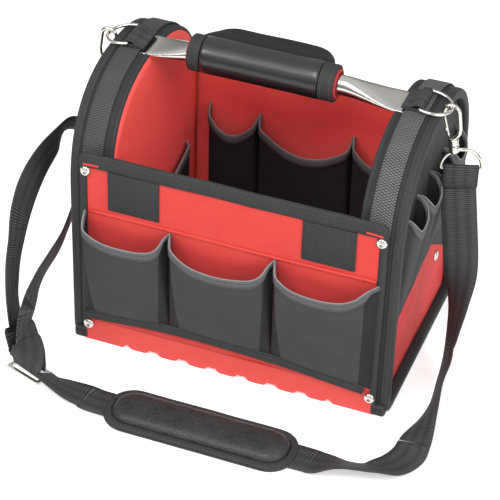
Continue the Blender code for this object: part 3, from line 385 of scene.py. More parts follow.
def add(name, shape, finish, body="bag", stands_for=None, slot=None, sharp=None):
    """Turn a shape into a named piece that rides on a body."""
    mesh = bpy.data.meshes.new(name)
    shape.to_mesh(mesh)
    shape.free()
    mesh.materials.append(finish.material)
    mesh.shade_smooth()
    if sharp:
        mesh.set_sharp_from_angle(angle=radians(sharp))
    item = bpy.data.objects.new(name, mesh)
    bpy.context.scene.collection.objects.link(item)
    slot = slot or finish.slot
    if body:
        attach(item, body)
    if stands_for:
        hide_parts(stands_for)
    return item


def thicken(item, thick, offset=-1.0):
    """Give a sheet its thickness."""
    step = item.modifiers.new("thickness", "SOLIDIFY")
    step.thickness = thick
    step.offset = offset
    return step


def soften(item):
    """Round a piece with a subdivision surface."""
    step = item.modifiers.new("softness", "SUBSURF")
    step.levels = step.render_levels = 1


def swept(section, route, ring=False):
    """Sweep a closed section, in (across, up) metres, along stations; ring joins the ends."""
    def place(i, j):
        point, side, up = route[j % len(route)]
        across, lift = section[i % len(section)]
        return point + side * across + up * lift

    return surface(len(section), len(route) - (0 if ring else 1), place, not ring)


def stations(points, sides):
    """Return (point, side, up) along a route whose width lies along sides, or along one side."""
    if isinstance(sides, Vector):
        sides = [sides] * len(points)
    result = []
    for k, point in enumerate(points):
        ahead = (points[min(k + 1, len(points) - 1)] - points[max(k - 1, 0)]).normalized()
        side = (sides[k] - ahead * sides[k].dot(ahead)).normalized()
        result.append((point, side, side.cross(ahead)))
    return result


def oblong(wide, thick, power, sides):
    """Return the points of a flat section with rounded edges."""
    turns = [rounded(2 * pi * k / sides, power) for k in range(sides)]
    return [(wide / 2 * across, thick / 2 * lift) for across, lift in turns]


def tape(points, side, wide, thick, crown=0.0):
    """Return a flat tape with eased edges along points; its width lies along side."""
    half, deep = wide / 2, thick / 2
    ease, flat = half - deep * 0.7, half * 0.6
    high = deep + crown
    section = [(-half, 0), (-ease, deep), (-flat, high), (0, high), (flat, high), (ease, deep),
               (half, 0), (ease, -deep), (flat, -deep), (0, -deep), (-flat, -deep), (-ease, -deep)]
    return swept(section, stations(points, side))


def tube(points, radius, sides, ring=False, side=(0.31, 0.17, 0.93)):
    """Return a round wire along points."""
    points = [Vector(point) for point in points]
    last = len(points) - 1
    across = Vector(side)
    route = []
    for k, point in enumerate(points):
        if ring:
            ahead = points[(k + 1) % len(points)] - points[k - 1]
        else:
            ahead = points[min(k + 1, last)] - points[max(k - 1, 0)]
        ahead.normalize()
        across = (across - ahead * across.dot(ahead)).normalized()
        route.append((point, across.copy(), across.cross(ahead)))
    return swept(arc(radius, 0, 2 * pi, sides)[:-1], route, ring)


def stitches(name, points, out, finish=DARK_THREAD, body="bag", pitch=0.0042, length=0.0028, wide=0.0007):
    """Sew a row of raised stitches along points; out is the way that they face."""
    points = [Vector(point) for point in points]
    reach = sum((b - a).length for a, b in zip(points, points[1:]))
    count = max(2, int(reach / pitch))
    row = even_row(points, count * 2)
    shape = bmesh.new()
    shape.loops.layers.uv.new("UVMap")
    scale = Matrix.Diagonal((length / 2, wide / 2, wide / 2, 1))
    for k in range(1, count * 2, 2):
        ahead = (row[k + 1] - row[k - 1]).normalized()
        up = out(row[k]) if callable(out) else Vector(out)
        up = (up - ahead * up.dot(ahead)).normalized()
        turn = Matrix((ahead, up.cross(ahead), up)).transposed().to_4x4()
        bmesh.ops.create_icosphere(shape, subdivisions=1, radius=1.0,
                                   matrix=Matrix.Translation(row[k]) @ turn @ scale)
    add(name, shape, finish, body)


def block(low, high, bevel, segments=2):
    """Return a block with eased edges."""
    low, high = Vector(low), Vector(high)
    size = high - low
    shape = bmesh.new()
    bmesh.ops.create_cube(shape, size=1.0,
                          matrix=Matrix.Translation((low + high) / 2) @ Matrix.Diagonal((*size, 1)))
    bmesh.ops.bevel(shape, geom=shape.edges, offset=bevel, affect="EDGES", segments=segments,
                    profile=0.5, material=-1)
    thin = min(range(3), key=lambda k: size[k])
    map_cloth(shape, *[k for k in range(3) if k != thin])
    return shape


def spun(profile, axis, place, steps):
    """Spin a profile of (radius, high) round an axis that stands on a place."""
    shape = bmesh.new()
    verts = [shape.verts.new((radius, 0, high)) for radius, high in profile]
    edges = [shape.edges.new(pair) for pair in zip(verts, verts[1:])]
    bmesh.ops.spin(shape, geom=verts + edges, cent=(0, 0, 0), axis=(0, 0, 1), angle=2 * pi, steps=steps,
                   use_merge=True)
    bmesh.ops.remove_doubles(shape, verts=shape.verts, dist=MERGE)
    bmesh.ops.recalc_face_normals(shape, faces=shape.faces)
    turn = axis.to_track_quat("Z", "Y").to_matrix().to_4x4()
    bmesh.ops.transform(shape, matrix=Matrix.Translation(place) @ turn, verts=shape.verts)
    return shape


def ripple(spot, scale, depth):
    """Return a small smooth unevenness at a place."""
    return noise.noise(Vector(spot) * scale) * depth


# ---- panels, bindings and tapes

PANEL_COLUMNS = 60
PANEL_ROWS = 40
PANEL_CORNER = 0.009
EASE_REACH = 0.03
SEAM = [(-0.171, 0.1875), (-0.06, 0.187), (0.06, 0.1864), (0.171, 0.1874)]
FOOT_STOPS = ((-0.180, 0.0390), (-0.067, 0.0475), (0.055, 0.0445), (0.163, 0.0350), (0.180, 0.0335))
BINDING_OUTSIDE = ((0.3, -16.3), (1.4, -15.9), (1.7, -14.3), (1.9, -8.3), (1.7, -0.8), (1.0, 0.9), (-0.2, 1.5),
                   (-1.8, 1.5), (-2.8, 0.7), (-3.0, -0.2), (-1.0, 0), (0.2, -2), (0.3, -12.3))
BINDING_SWAYS_FROM = 0.0133
BINDING_INSIDE_HALF = 0.1415
BINDING_INSIDE = ((-0.1, -14.3), (-1.2, -13.8), (-1.4, -4.3), (-0.8, 0.8), (0.4, 0.6), (-0.1, -2))
SIDE_TAPE = ((-8.5, 0.1), (-7.9, 0.9), (-4.5, 1.1), (0, 1.1), (1, -0.1), (1, -2), (0, -2.6), (-0.2, -1), (-2, 0.1))
SIDE_TAPE_ROWS = 40
SIDE_TAPE_LOW = 0.002
SIDE_TAPE_TOP = PANEL_TOP - 0.0165
SIDE_TAPE_NARROWS = 0.0055
SIDE_TAPE_STILL = PANEL_HALF - 0.002
SIDE_TAPE_MOVES = 0.0065
SIDE_SEAM_LOW = 0.048
SIDE_SEAM_TALL = 0.194
BOOT_ACROSS = (0.1750, 0.1925)
BOOT_DEEP = (FACE + 0.0014, FACE - 0.016)
BOOT_HIGH = (0.0002, 0.0145)
BOOT_ROUND = 0.0036
SLIT = ((0.1560, 0.0021, 0.2512), (0.165, 0.0022, 0.2510), (0.1755, 0.0021, 0.2500))
PATCH_AT = 0.115
PATCH_HALF = 0.031
PATCH_LOW = 0.195
PATCH_HIGH = 0.2465
PATCH_HEM = 0.0022


def mouth_wave(x, out):
    """Return the unevenness of the binding on a mouth edge."""
    return ripple((x, 0, out), 18, 0.0007)


def corner_drop(x):
    """Return how far the mouth edge of a panel falls at its rounded corners."""
    off = abs(x) - (PANEL_HALF + 0.001 - PANEL_CORNER)
    if off <= 0:
        return 0.0
    return PANEL_CORNER - (PANEL_CORNER ** 2 - min(off, PANEL_CORNER * 0.97) ** 2) ** 0.5


def build_panel(label, out):
    """Front or back panel of stiffened canvas, with its cross seam."""
    low = SKIRT_TOP + GAP

    def place(i, j):
        x = -PANEL_HALF + 2 * PANEL_HALF * i / PANEL_COLUMNS
        z = low + (PANEL_TOP - corner_drop(x) - low) * j / PANEL_ROWS
        inside = min(1.0, (PANEL_HALF - abs(x)) / EASE_REACH) * min(1.0, (PANEL_TOP - z) / EASE_REACH)
        lift = ripple((x, out, z), 14, 0.0009) * max(inside, 0.0)
        return Vector((x, out * (FACE + lift), z))

    panel = add(f"{label}_panel_cloth", surface(PANEL_COLUMNS, PANEL_ROWS, place), RED_CLOTH,
                stands_for=f"{label}_panel")
    # The inside face of the panel takes the brighter red of painted light
    panel.data.materials.append(RED_CANVAS_PAINTED_LIGHT.material)
    thicken(panel, PANEL_THICK).material_offset = 1
    points = smooth_row([(x, out * (FACE + 0.0004), z) for x, z in SEAM], 8)
    add(f"{label}_cross_seam", swept(oblong(0.0042, 0.0022, 0.8, 12), stations(points, UP)), RED_CLOTH)
    stitches(f"{label}_cross_stitches", [point + Vector((0, out * 0.0002, 0.0036)) for point in points],
             (0, out, 0), RED_THREAD, pitch=0.0036, length=0.0024, wide=0.0006)


def build_top_binding(label, out):
    """Folded tape over the mouth edge of a panel, with its inner side."""
    top = PANEL_TOP + GAP
    outside, inside = mm(BINDING_OUTSIDE, FACE, top), mm(BINDING_INSIDE, FACE - PANEL_THICK, top)
    for tag, rows, profile, half in (("tape", 120, outside, PANEL_HALF + 0.001),
                                     ("inside", 60, inside, BINDING_INSIDE_HALF)):
        def place(i, j):
            x = -half + 2 * half * j / rows
            deep, high = profile[i % len(profile)]
            sag = mouth_wave(x, out) - corner_drop(x) * (1 if high > top - BINDING_SWAYS_FROM else 0.3)
            return Vector((x, out * deep, high + sag))

        add(f"top_binding_{label}_{tag}", surface(len(profile), rows, place, closed=True), TAPE,
            stands_for=f"top_binding_{label}" if tag == "tape" else None)
    row = [Vector((x / 1000, out * (FACE + 0.0018), top - 0.0131 + mouth_wave(x / 1000, out)))
           for x in range(-178, 179, 6)]
    stitches(f"top_binding_{label}_stitches", row, (0, out, 0))


def build_side_tape(label, out, tag, side):
    """Tape folded round the upright edge of a panel, narrower at its foot."""
    profile = mm(SIDE_TAPE, PANEL_HALF, FACE)

    def place(i, j):
        z = SIDE_TAPE_LOW + (SIDE_TAPE_TOP - SIDE_TAPE_LOW) * j / SIDE_TAPE_ROWS
        across, deep = profile[i % len(profile)]
        narrow = min(1.0, max(0.0, (0.040 - z) / 0.020)) * SIDE_TAPE_NARROWS
        across += narrow * max(0.0, (SIDE_TAPE_STILL - across) / SIDE_TAPE_MOVES)
        return Vector((side * across, out * deep, z))

    add(f"{label}_edge_tape_{tag}", surface(len(profile), SIDE_TAPE_ROWS, place, closed=True), TAPE)
    row = [(side * (PANEL_HALF - 0.0069), out * (FACE + 0.0012), SIDE_SEAM_LOW + SIDE_SEAM_TALL * k / 20)
           for k in range(21)]
    stitches(f"{label}_edge_stitches_{tag}", row, (0, out, 0))


def build_corner_boot(label, out, tag, side):
    """Tape folded under a lower corner, from the panel round to the end."""
    corners = zip(sorted(side * x for x in BOOT_ACROSS), sorted(out * y for y in BOOT_DEEP), BOOT_HIGH)
    add(f"{label}_corner_boot_{tag}", block(*corners, BOOT_ROUND, 4), TAPE)


def foot_line(x):
    """Return the height of the middle of the tape at the pockets' foot."""
    return through(FOOT_STOPS, x)


def build_foot_tape(label, out):
    """Tape along the foot of the pockets, bowed a little upwards."""
    points = [Vector((x / 1000, out * (FACE + 0.0022), foot_line(x / 1000))) for x in range(-176, 172, 6)]
    add(f"pocket_foot_tape_{label}", tape(points, UP, 0.0132, 0.0038, 0.0004), TAPE,
        stands_for=f"pocket_strip_{label}")
    for row, lift in (("upper", 0.0045), ("lower", -0.0045)):
        stitches(f"pocket_foot_stitches_{label}_{row}",
                 [point + Vector((0, out * 0.0022, lift)) for point in points], (0, out, 0))


def build_loop_patch(label, side):
    """Square of soft loop tape, sewn round its edges."""
    across, face = side * PATCH_AT, -FACE - 0.0019
    add(f"loop_patch_{label}_pile",
        block((across - PATCH_HALF, face, PATCH_LOW), (across + PATCH_HALF, -FACE - 0.0002, PATCH_HIGH), 0.0006),
        LOOP_TAPE, stands_for=f"loop_patch_{label}")
    sewn = PATCH_HALF - PATCH_HEM
    top, foot = PATCH_HIGH - PATCH_HEM, PATCH_LOW + PATCH_HEM
    corners = [(across + x, face - 0.0001, z) for x, z in ((-sewn, top), (-sewn, foot), (sewn, foot), (sewn, top))]
    stitches(f"loop_patch_{label}_stitches", corners, (0, -1, 0))


def build_slit(tag, side):
    """Short red slit in the front binding, over an upper rivet."""
    line = smooth_row([(side * x, -FACE - off, z) for x, off, z in SLIT])
    add(f"red_slit_{tag}", swept(oblong(0.0026, 0.0010, 0.7, 10), stations(line, UP)), RED_CLOTH)


# ---- pockets

CLOTH_THICK = 0.0012
SWELL = 0.8
FOOT_LEAN = 0.12
FOLD_LIMIT = 0.42
FRONT_SHARE = 0.72
SIDE_TRIM_LOSS = 0.65
TRIM_TALL = 11.5
TRIM_SECTION = ((-TRIM_TALL, 0.6), (-TRIM_TALL + 0.4, 1.5), (-TRIM_TALL / 2, 1.7), (-1.4, 1.5), (0.2, 0.4),
                (-1.4, -1.9), (-TRIM_TALL / 2, -2.1), (-TRIM_TALL + 1, -1.9), (-TRIM_TALL + 1.2, -0.4))
POCKET_ROWS = 14
INSIDE_FOOT = 0.0145
END_FOOT = 0.114
END_FOOT_SLOPE = 0.18
END_FOOT_LIMIT = 0.135
END_POCKETS = 4
END_POCKET_START = -0.100
END_POCKET_WIDE = 0.050
END_POCKET_SPAN = (0.0005, 0.0495)
# Mouths are in hundredths of a pocket's width and millimetres of height
PANEL_POCKETS = {
    "left": ((-0.175, -0.0710), (0.0035, 0.0095),
             ((0, 187), (6, 183), (14, 173), (32, 162.5), (60, 160.5), (78, 164.5), (86, 172), (92, 180),
              (100, 183))),
    "middle": ((-0.0710, 0.0540), (0.0068, 0.0095),
               ((0, 183), (7, 181.5), (13, 175), (27, 161), (45, 156), (62, 157), (78, 162), (86, 170), (92, 179),
                (100, 183))),
    "right": ((0.0540, 0.175), (0.0068, 0.0165),
              ((0, 183), (7, 181.5), (13, 175), (27, 163.5), (50, 160), (68, 163), (79, 171), (86, 179),
               (100, 183)))}
INSIDE_POCKETS = {
    "left": ((-0.128, -0.0625), ((0, 189), (14, 182), (32, 165), (50, 159), (68, 165), (86, 180), (100, 189))),
    "middle": ((-0.0625, 0.0575), ((0, 189), (12, 176), (32, 158), (50, 151), (70, 156), (88, 171), (100, 187))),
    "right": ((0.0575, 0.128), ((0, 187), (14, 180), (32, 165), (50, 159), (68, 165), (86, 178), (100, 187)))}
INSIDE_END_MOUTH = ((0, 152), (10, 147), (30, 138), (50, 135), (70, 138), (90, 147), (100, 152))
END_MOUTH = ((0, 253.5), (14, 250), (30, 236), (50, 231), (70, 236), (86, 250), (100, 253.5))


def bend(before, corner, after, radius, steps=4):
    """Return the points of a small round bend at a corner."""
    start = corner + (before - corner).normalized() * radius
    end = corner + (after - corner).normalized() * radius
    return [start.lerp(corner, k / steps).lerp(corner.lerp(end, k / steps), k / steps) for k in range(steps + 1)]


@dataclass
class Pocket:
    """Cloth of a bellows pocket on a wall, from its foot up to its sagging mouth."""

    name: str
    origin: Vector
    across: Vector
    out: Vector
    span: tuple
    foot: object
    mouth: tuple
    depth: tuple
    lean: tuple
    columns: int = 60
    crown: float = 0.002
    fold: float = 0.0055
    cloth: Finish = POCKET_CLOTH
    # Finish of the side walls; the default one is dark gusset cloth with painted shade of the folds
    wall_cloth: Finish = DARK_WALL_AND_SHADE_CLOTH

    def __post_init__(self):
        self.mouth = [(share / 100, high / 1000) for share, high in self.mouth]

    def plan(self, rise):
        """Return the walk of the cloth in plan, (across, out), at a share of its height."""
        start, end = self.span
        deep = self.depth[0] + (self.depth[1] - self.depth[0]) * rise ** SWELL
        left, right = [part * (FOOT_LEAN + (1 - FOOT_LEAN) * rise) for part in self.lean]
        fold = min(self.fold, deep * FOLD_LIMIT)
        first, last = Vector((start + left, deep, 0)), Vector((end - right, deep, 0))
        row = [Vector((start, 0, 0))]
        row += bend(row[0], first, last, fold)
        row += [Vector((first.x + (last.x - first.x) * share, deep + self.crown * sin(pi * share), 0))
                for share in (0.12, 0.24, 0.36, 0.5, 0.64, 0.76, 0.88)]
        row += bend(first, last, Vector((end, 0, 0)), fold)
        row.append(Vector((end, 0, 0)))
        return even_row(row, self.columns)

    def spot(self, i, rise, off=0.0):
        """Return a point of the cloth, off by some way along its outward normal."""
        walk = self.plan(rise)
        here = walk[i]
        ahead = (walk[min(i + 1, self.columns)] - walk[max(i - 1, 0)]).normalized()
        low = self.foot(here.x)
        high = low + (through(self.mouth, i / self.columns) - low) * rise
        here = here + Vector((-ahead.y, ahead.x, 0)) * off
        spot = self.origin + self.across * here.x + self.out * (GAP + here.y)
        return Vector((spot.x, spot.y, high))

    def near_mouth(self, i, drop, off=0.0):
        """Return a point at a drop under the mouth."""
        low = self.foot(self.plan(1.0)[i].x)
        tall = through(self.mouth, i / self.columns) - low
        point = self.spot(i, min(1.0, 1 + drop / tall), off)
        point.z = low + tall + drop
        return point

    def corners(self):
        """Return the first and last columns of the front of the pocket, between its side walls."""
        walk = self.plan(0.8)
        front = max(point.y for point in walk) * FRONT_SHARE
        ahead = [k for k, point in enumerate(walk) if point.y >= front]
        return ahead[0], ahead[-1]

    def build(self, stands_for=None):
        """Make the cloth, its grey trim with piping, and the stitches."""
        spots = {}

        def place(i, j):
            rise = j / POCKET_ROWS
            spots[i, j] = self.spot(i, rise)
            wave = ripple(spots[i, j], 30, 0.0008) * sin(pi * rise) * sin(pi * i / self.columns)
            return spots[i, j] + self.out * wave

        first, last = self.corners()
        shape = surface(self.columns, POCKET_ROWS, place, second=(first, last))
        cloth = add(f"{self.name}_cloth", shape, self.cloth, stands_for=stands_for)
        # The side walls take the wall finish, by default darker with painted shade of the folds
        cloth.data.materials.append(self.wall_cloth.material)
        thicken(cloth, CLOTH_THICK, 1.0 if self.out.dot(self.across.cross(UP)) < 0 else -1.0)
        soften(cloth)
        profile = mm(TRIM_SECTION)

        def place_trim(i, j):
            drop, off = profile[j % len(profile)]
            beside = min(1.0, max(first - i, i - last, 0) / 3)
            return self.near_mouth(i, drop * (1.0 - SIDE_TRIM_LOSS * beside), off)

        band = add(f"{self.name}_trim", surface(self.columns, len(profile), place_trim, closed=True), TRIM)
        rim = [self.near_mouth(i, 0.0006, 0.0001) for i in range(self.columns + 1)]
        add(f"{self.name}_piping", tube(rim, 0.0008, 8), PIPING)
        centre = self.origin + self.across * sum(self.span) / 2

        def facing(point):
            off = point - centre
            return (self.out * max(0.0, off.dot(self.out)) + self.out * 0.01
                    + self.across * off.dot(self.across) * 0.15)

        for row, drop in (("upper", -0.0026), ("lower", 0.0022 - TRIM_TALL / 1000)):
            line = [self.near_mouth(i, drop, 0.0019) for i in range(first, last + 1)]
            stitches(f"{self.name}_stitches_{row}", line, facing, pitch=0.0038, length=0.0026, wide=0.0006)
        area = sum((spots[i + 1, j] - point).cross(spots[i, j + 1] - point).length
                   for (i, j), point in spots.items() if i < self.columns and j < POCKET_ROWS)
        tall = max(high for _, high in self.mouth) - self.foot(centre.dot(self.across))
        round(area / tall, 3)


def build_pockets():
    """Pockets on both panels, inside the back panel, and inside and outside the ends."""
    for label, out in FACES:
        for side, (span, lean, mouth) in PANEL_POCKETS.items():
            Pocket(f"{label}_pocket_{side}", Vector((0, out * FACE, 0)), ALONG, Vector((0, out, 0)), span,
                   lambda x: foot_line(x) + 0.003, mouth, (0.0014, 0.0205), lean,
                   fold=0.0078).build(f"pocket_{label}_{side}")
    for side, (span, mouth) in INSIDE_POCKETS.items():
        Pocket(f"inside_back_pocket_{side}", Vector((0, FACE - PANEL_THICK, 0)), ALONG, Vector((0, -1, 0)), span,
               lambda x: INSIDE_FOOT, mouth, (0.004, 0.0165), (0.004, 0.004),
               cloth=INNER_CLOTH).build(f"pocket_inside_back_{side}")
    for label, out in ENDS:
        Pocket(f"inside_end_pocket_{label}", Vector((out * (END_INNER - GAP), 0, 0)), ACROSS,
               Vector((-out, 0, 0)), (-0.090, 0.090), lambda x: INSIDE_FOOT, INSIDE_END_MOUTH,
               (0.003, 0.0066), (0.005, 0.005), crown=0.0012, cloth=INNER_CLOTH).build(f"pocket_inside_{label}")
    for label, out in ENDS:
        for k in range(END_POCKETS):
            start = END_POCKET_START + END_POCKET_WIDE * k
            pocket = Pocket(f"end_pocket_{label}_{k + 1}", Vector((out * END_FACE, 0, 0)), ACROSS,
                            Vector((out, 0, 0)), tuple(start + off for off in END_POCKET_SPAN),
                            lambda y: min(END_FOOT + END_FOOT_SLOPE * (y - END_POCKET_START), END_FOOT_LIMIT),
                            END_MOUTH,
                            (0.002, 0.0185), (0.005, 0.005), 36, 0.0012, wall_cloth=POCKET_CLOTH)
            pocket.build(f"end_pockets_{label}" if k == 0 else None)


# ---- padded ends

ARCH_STEPS = 90
WALK_STEPS = 130
RIM_STEPS = 120
BAND_SLOPE = mm(((-23.7, -4.0), (-23.2, -1.5), (-21.2, -0.2), (-19.0, -0.6), (-17.8, -2.0), (-16.8, -2.2),
                 (-15.8, -0.8), (-13.5, -0.3), (-8.0, -0.2)))
BAND_FOOT = mm(((22.5, -6.2), (19.0, -7.0)))
BAND_SECTION = (BAND_SLOPE + [(0.0, -0.0001)] + [(-x, lift) for x, lift in reversed(BAND_SLOPE)]
                + BAND_FOOT + [(0.0, -BAND_THICK)] + [(-x, lift) for x, lift in reversed(BAND_FOOT)])
WEBBING_FOOT = 0.247
YOKE_POINT = (0.036, 0.128)
YOKE_HALF = 0.1215
YOKE_SLOPES = (0.18, -0.68)
YOKE_SEAMS = (("front", -0.118, 0.0358), ("back", 0.0362, 0.120))
END_CENTRE = Vector((0, 0, 0.165))


def arch_row(inset):
    """Return points over the arch, from the back spring to the front one."""
    return [arch_point(pi * k / ARCH_STEPS, inset) for k in range(ARCH_STEPS + 1)]


def arch_point(turn, inset):
    """Return (y, z) on the arch for an angle from the back spring to the front one."""
    across, rise = rounded(turn, 2 / ARCH_POWER)
    return Vector((0, (HALF_DEPTH - inset) * across, ARCH_SPRING + (ARCH_TOP - inset - ARCH_SPRING) * rise))


def end_walk(inset, count):
    """Return an even closed walk round an end, starting at the back spring and over the arch."""
    radius = max(END_CORNER - inset, 0.0015)
    half = HALF_DEPTH - inset - radius
    high = inset + radius
    foot = arc(radius, pi, pi / 2, 8, -half, high) + arc(radius, 1.5 * pi, pi / 2, 8, half, high)
    points = arch_row(inset) + [Vector((0, y, z)) for y, z in foot]
    return even_row(points + points[:1], count)[:-1]


def outward(walk, k):
    """Return the way out of an end at a point of the walk round it."""
    count = len(walk)
    ahead = (walk[(k + 1) % count] - walk[k % count - 1]).normalized()
    return Vector((0, ahead.z, -ahead.y))


def build_band(label, out):
    """Padded band round an end, with rolled edges."""
    walk = end_walk(0.0, WALK_STEPS)
    middle = Vector((out * BAND_MIDDLE, 0, 0))

    def place(i, j):
        here = walk[j % WALK_STEPS]
        across, lift = BAND_SECTION[i % len(BAND_SECTION)]
        wave = ripple((out, here.y, here.z), 40, 0.0004) if abs(across) > 0.018 else 0
        return middle + here + Vector((across, 0, 0)) + outward(walk, j) * (lift + wave)

    band = add(f"arch_band_{label}_padding", surface(len(BAND_SECTION), WALK_STEPS, place), BAND_CLOTH,
               stands_for=f"arch_band_{label}")
    soften(band)
    for face, across in (("in", -0.0148), ("out", 0.0148)):
        row = [middle + walk[j % WALK_STEPS] + Vector((across, 0, 0)) + outward(walk, j) * 0.0002
               for j in range(-22, 90)]
        stitches(f"arch_band_{label}_stitches_{face}", row,
                 lambda point: Vector((0, point.y, max(0.0, point.z - ARCH_SPRING) * 1.2 + 0.001)))


def build_band_webbing(label, out):
    """Webbing sewn along the middle of a band."""
    arch = [point for point in arch_row(-GAP - WEBBING_THICK / 2) if point.z > WEBBING_FOOT]
    points = [Vector((out * BAND_MIDDLE, point.y, point.z)) for point in even_row(arch, ARCH_STEPS)]
    # The left end takes the shaded copy of the webbing, the right end the lit copy
    add(f"band_webbing_{label}_tape", tape(points, ALONG, WEBBING_WIDTH, WEBBING_THICK), BAND_WEBS_LIT_AND_SHADED[out],
        stands_for=f"band_webbing_{label}")


def build_end_panel(label, face, start, bulge, finish):
    """Cloth panel that fills an end inside its band; face is inner or outer."""
    rings = 12
    count = 96
    walk = end_walk(BAND_THICK + GAP - 0.002, count)

    def place(i, j):
        share = 1 - j / rings
        here = END_CENTRE + (walk[i % count] - END_CENTRE) * share
        lift = bulge * (1 - share ** 2) + ripple((start, here.y, here.z), 16, 0.0008) * (1 - share)
        return Vector((start + lift, here.y, here.z))

    panel = add(f"end_{face}_panel_{label}_cloth", surface(count, rings, place, flat=(1, 2)), finish,
                stands_for=f"end_{face}_panel_{label}")
    thicken(panel, 0.0020, 0.0)


def yoke_line(y):
    """Return the height of the lower edge of the black cloth on an end."""
    off = y - YOKE_POINT[0]
    return YOKE_POINT[1] + YOKE_SLOPES[off >= 0] * off


def build_end_yoke(label, out):
    """Black cloth over the upper part of an end, sewn on along two slanting edges."""
    columns = 60
    rows = 24
    half = HALF_DEPTH - BAND_THICK
    rise = ARCH_TOP - BAND_THICK - ARCH_SPRING

    def place(i, j):
        y = -YOKE_HALF + 2 * YOKE_HALF * i / columns
        low = yoke_line(y)
        high = ARCH_SPRING + rise * max(0.0, 1 - abs(y / half) ** ARCH_POWER) ** (1 / ARCH_POWER)
        z = low + (high - low) * j / rows
        return Vector((out * (END_FACE + 0.0003 + ripple((out, y, z), 20, 0.0006)), y, z))

    yoke = add(f"end_yoke_{label}", surface(columns, rows, place), END_CLOTH)
    thicken(yoke, CLOTH_THICK, 1.0 if out > 0 else -1.0)
    for name, low, high in YOKE_SEAMS:
        seam = [low + (high - low) * k / 24 for k in range(25)]
        stitches(f"end_yoke_{label}_stitches_{name}",
                 [(out * (END_FACE + 0.0018), y, yoke_line(y) + 0.004) for y in seam], (out, 0, 0), GREY_THREAD)


def build_end_rim(label, out):
    """Padded binding round the outer face of an end."""
    walk = end_walk(0.0062, RIM_STEPS)
    middle = Vector((out * (END_OUTER - 0.0024), 0, 0))
    route = [(point + middle, outward(walk, k), ALONG) for k, point in enumerate(walk)]
    rim = add(f"end_rim_{label}", swept(oblong(0.0124, 0.0130, 0.6, 18), route, ring=True), TAPE)
    soften(rim)
    face = Vector((out * (END_OUTER + 0.0026), 0, 0))
    row = [face + walk[k % RIM_STEPS] - outward(walk, k) * 0.0052 for k in range(-20, 84)]
    stitches(f"end_rim_{label}_stitches", row, (out, 0, 0))


def build_ends():
    """Both padded ends with their webbing, panels, black upper cloth and bindings."""
    for label, out in ENDS:
        build_band(label, out)
        build_band_webbing(label, out)
        # The inner end panel takes the brighter red of painted light
        build_end_panel(label, "inner", out * (END_INNER + 0.0012), -out * 0.0004, RED_CANVAS_PAINTED_LIGHT)
        build_end_panel(label, "outer", out * (END_FACE - 0.0012), out * 0.0004, RED_CLOTH)
        build_end_yoke(label, out)
        build_end_rim(label, out)


# ---- handle

BAR_SIDES = 40
BAR_TIP = END_INNER + 0.033
BAR_EDGE = 0.0006
BAR_INSIDE_GRIP = 0.078
FLARE = 0.062
BLADE_HALF_WIDE = 0.0215
BLADE_HALF_TALL = 0.0020
GRIP_SIDES = 48
SLEEVE = mm(((-85.5, 15), (-85, 20.6), (-84.2, 21.3), (-80, 21.6), (-60, 21.3), (-30, 21.1), (0, 21.1),
             (30, 21.3), (48, 21.6), (53.2, 21.3), (54, 20.6), (54.5, 15)))
LEFT_END = mm(((0, 12.5), (0, 20.5), (1, 21.2), (14, 21.2), (14.5, 19)), GRIP_START)
RIGHT_END = mm(((-17.5, 19), (-17, 21.2), (-1, 21.2), (0, 20.5), (0, 12.5)), GRIP_END)
FLAP_ROWS = 46
FLAP_SIDES = 28
FLAP_REACH = 0.0505
FLAP_ROOT = 0.004
FLAP_LEAST = 0.012
FLAP_START = -0.0925
FLAP_LONG = 0.157
FLAP_STRAIGHT = 0.55
FLAP_THICK = 0.0058
FLAP_HIGH = 0.0092
FLAP_HUMP = 0.0060
FLAP_HUMP_REACH = 0.03
GRIP_SEAMS = {"left": -0.0965, "left_inner": -0.0895, "right": 0.0685, "right_inner": 0.0585}
GRIP_SEAM_RADIUS = 0.0214
FOAM_RADIUS = 0.0150
FOAM_THICK = 0.0026


def build_bar():
    """Polished tube with flattened, flared ends."""
    edge = BAR_TIP - BAR_EDGE
    places = [-BAR_TIP, -edge] + [-edge + (edge - BAR_INSIDE_GRIP) * k / 30 for k in range(1, 31)]
    places += [-0.05, 0.0, 0.05] + [-place for place in reversed(places)]

    def place(i, j):
        along = places[j]
        share = max(0.0, min(1.0, (abs(along) - (END_INNER - FLARE)) / FLARE))
        share = 0.5 * share + 0.5 * share * share * (3 - 2 * share)
        ease = BAR_EDGE if abs(along) >= BAR_TIP else 0
        across, rise = rounded(2 * pi * (i % BAR_SIDES) / BAR_SIDES, 1 - 0.6 * share)
        wide = BAR_RADIUS + (BLADE_HALF_WIDE - BAR_RADIUS) * share - ease
        tall = BAR_RADIUS + (BLADE_HALF_TALL - BAR_RADIUS) * share - ease
        return Vector((along, wide * across, BAR_HIGH + (BLADE_MIDDLE - BAR_HIGH) * share + tall * rise))

    add("handle_bar_polished", surface(BAR_SIDES, len(places) - 1, place, closed=True), CHROME,
        stands_for="handle_bar")


def bar_ring(along, radius, steps):
    """Return points round the axis of the bar, the first one again at the end."""
    return [Vector((along, y, z)) for y, z in arc(radius, 0, 2 * pi, steps, 0, BAR_HIGH)]


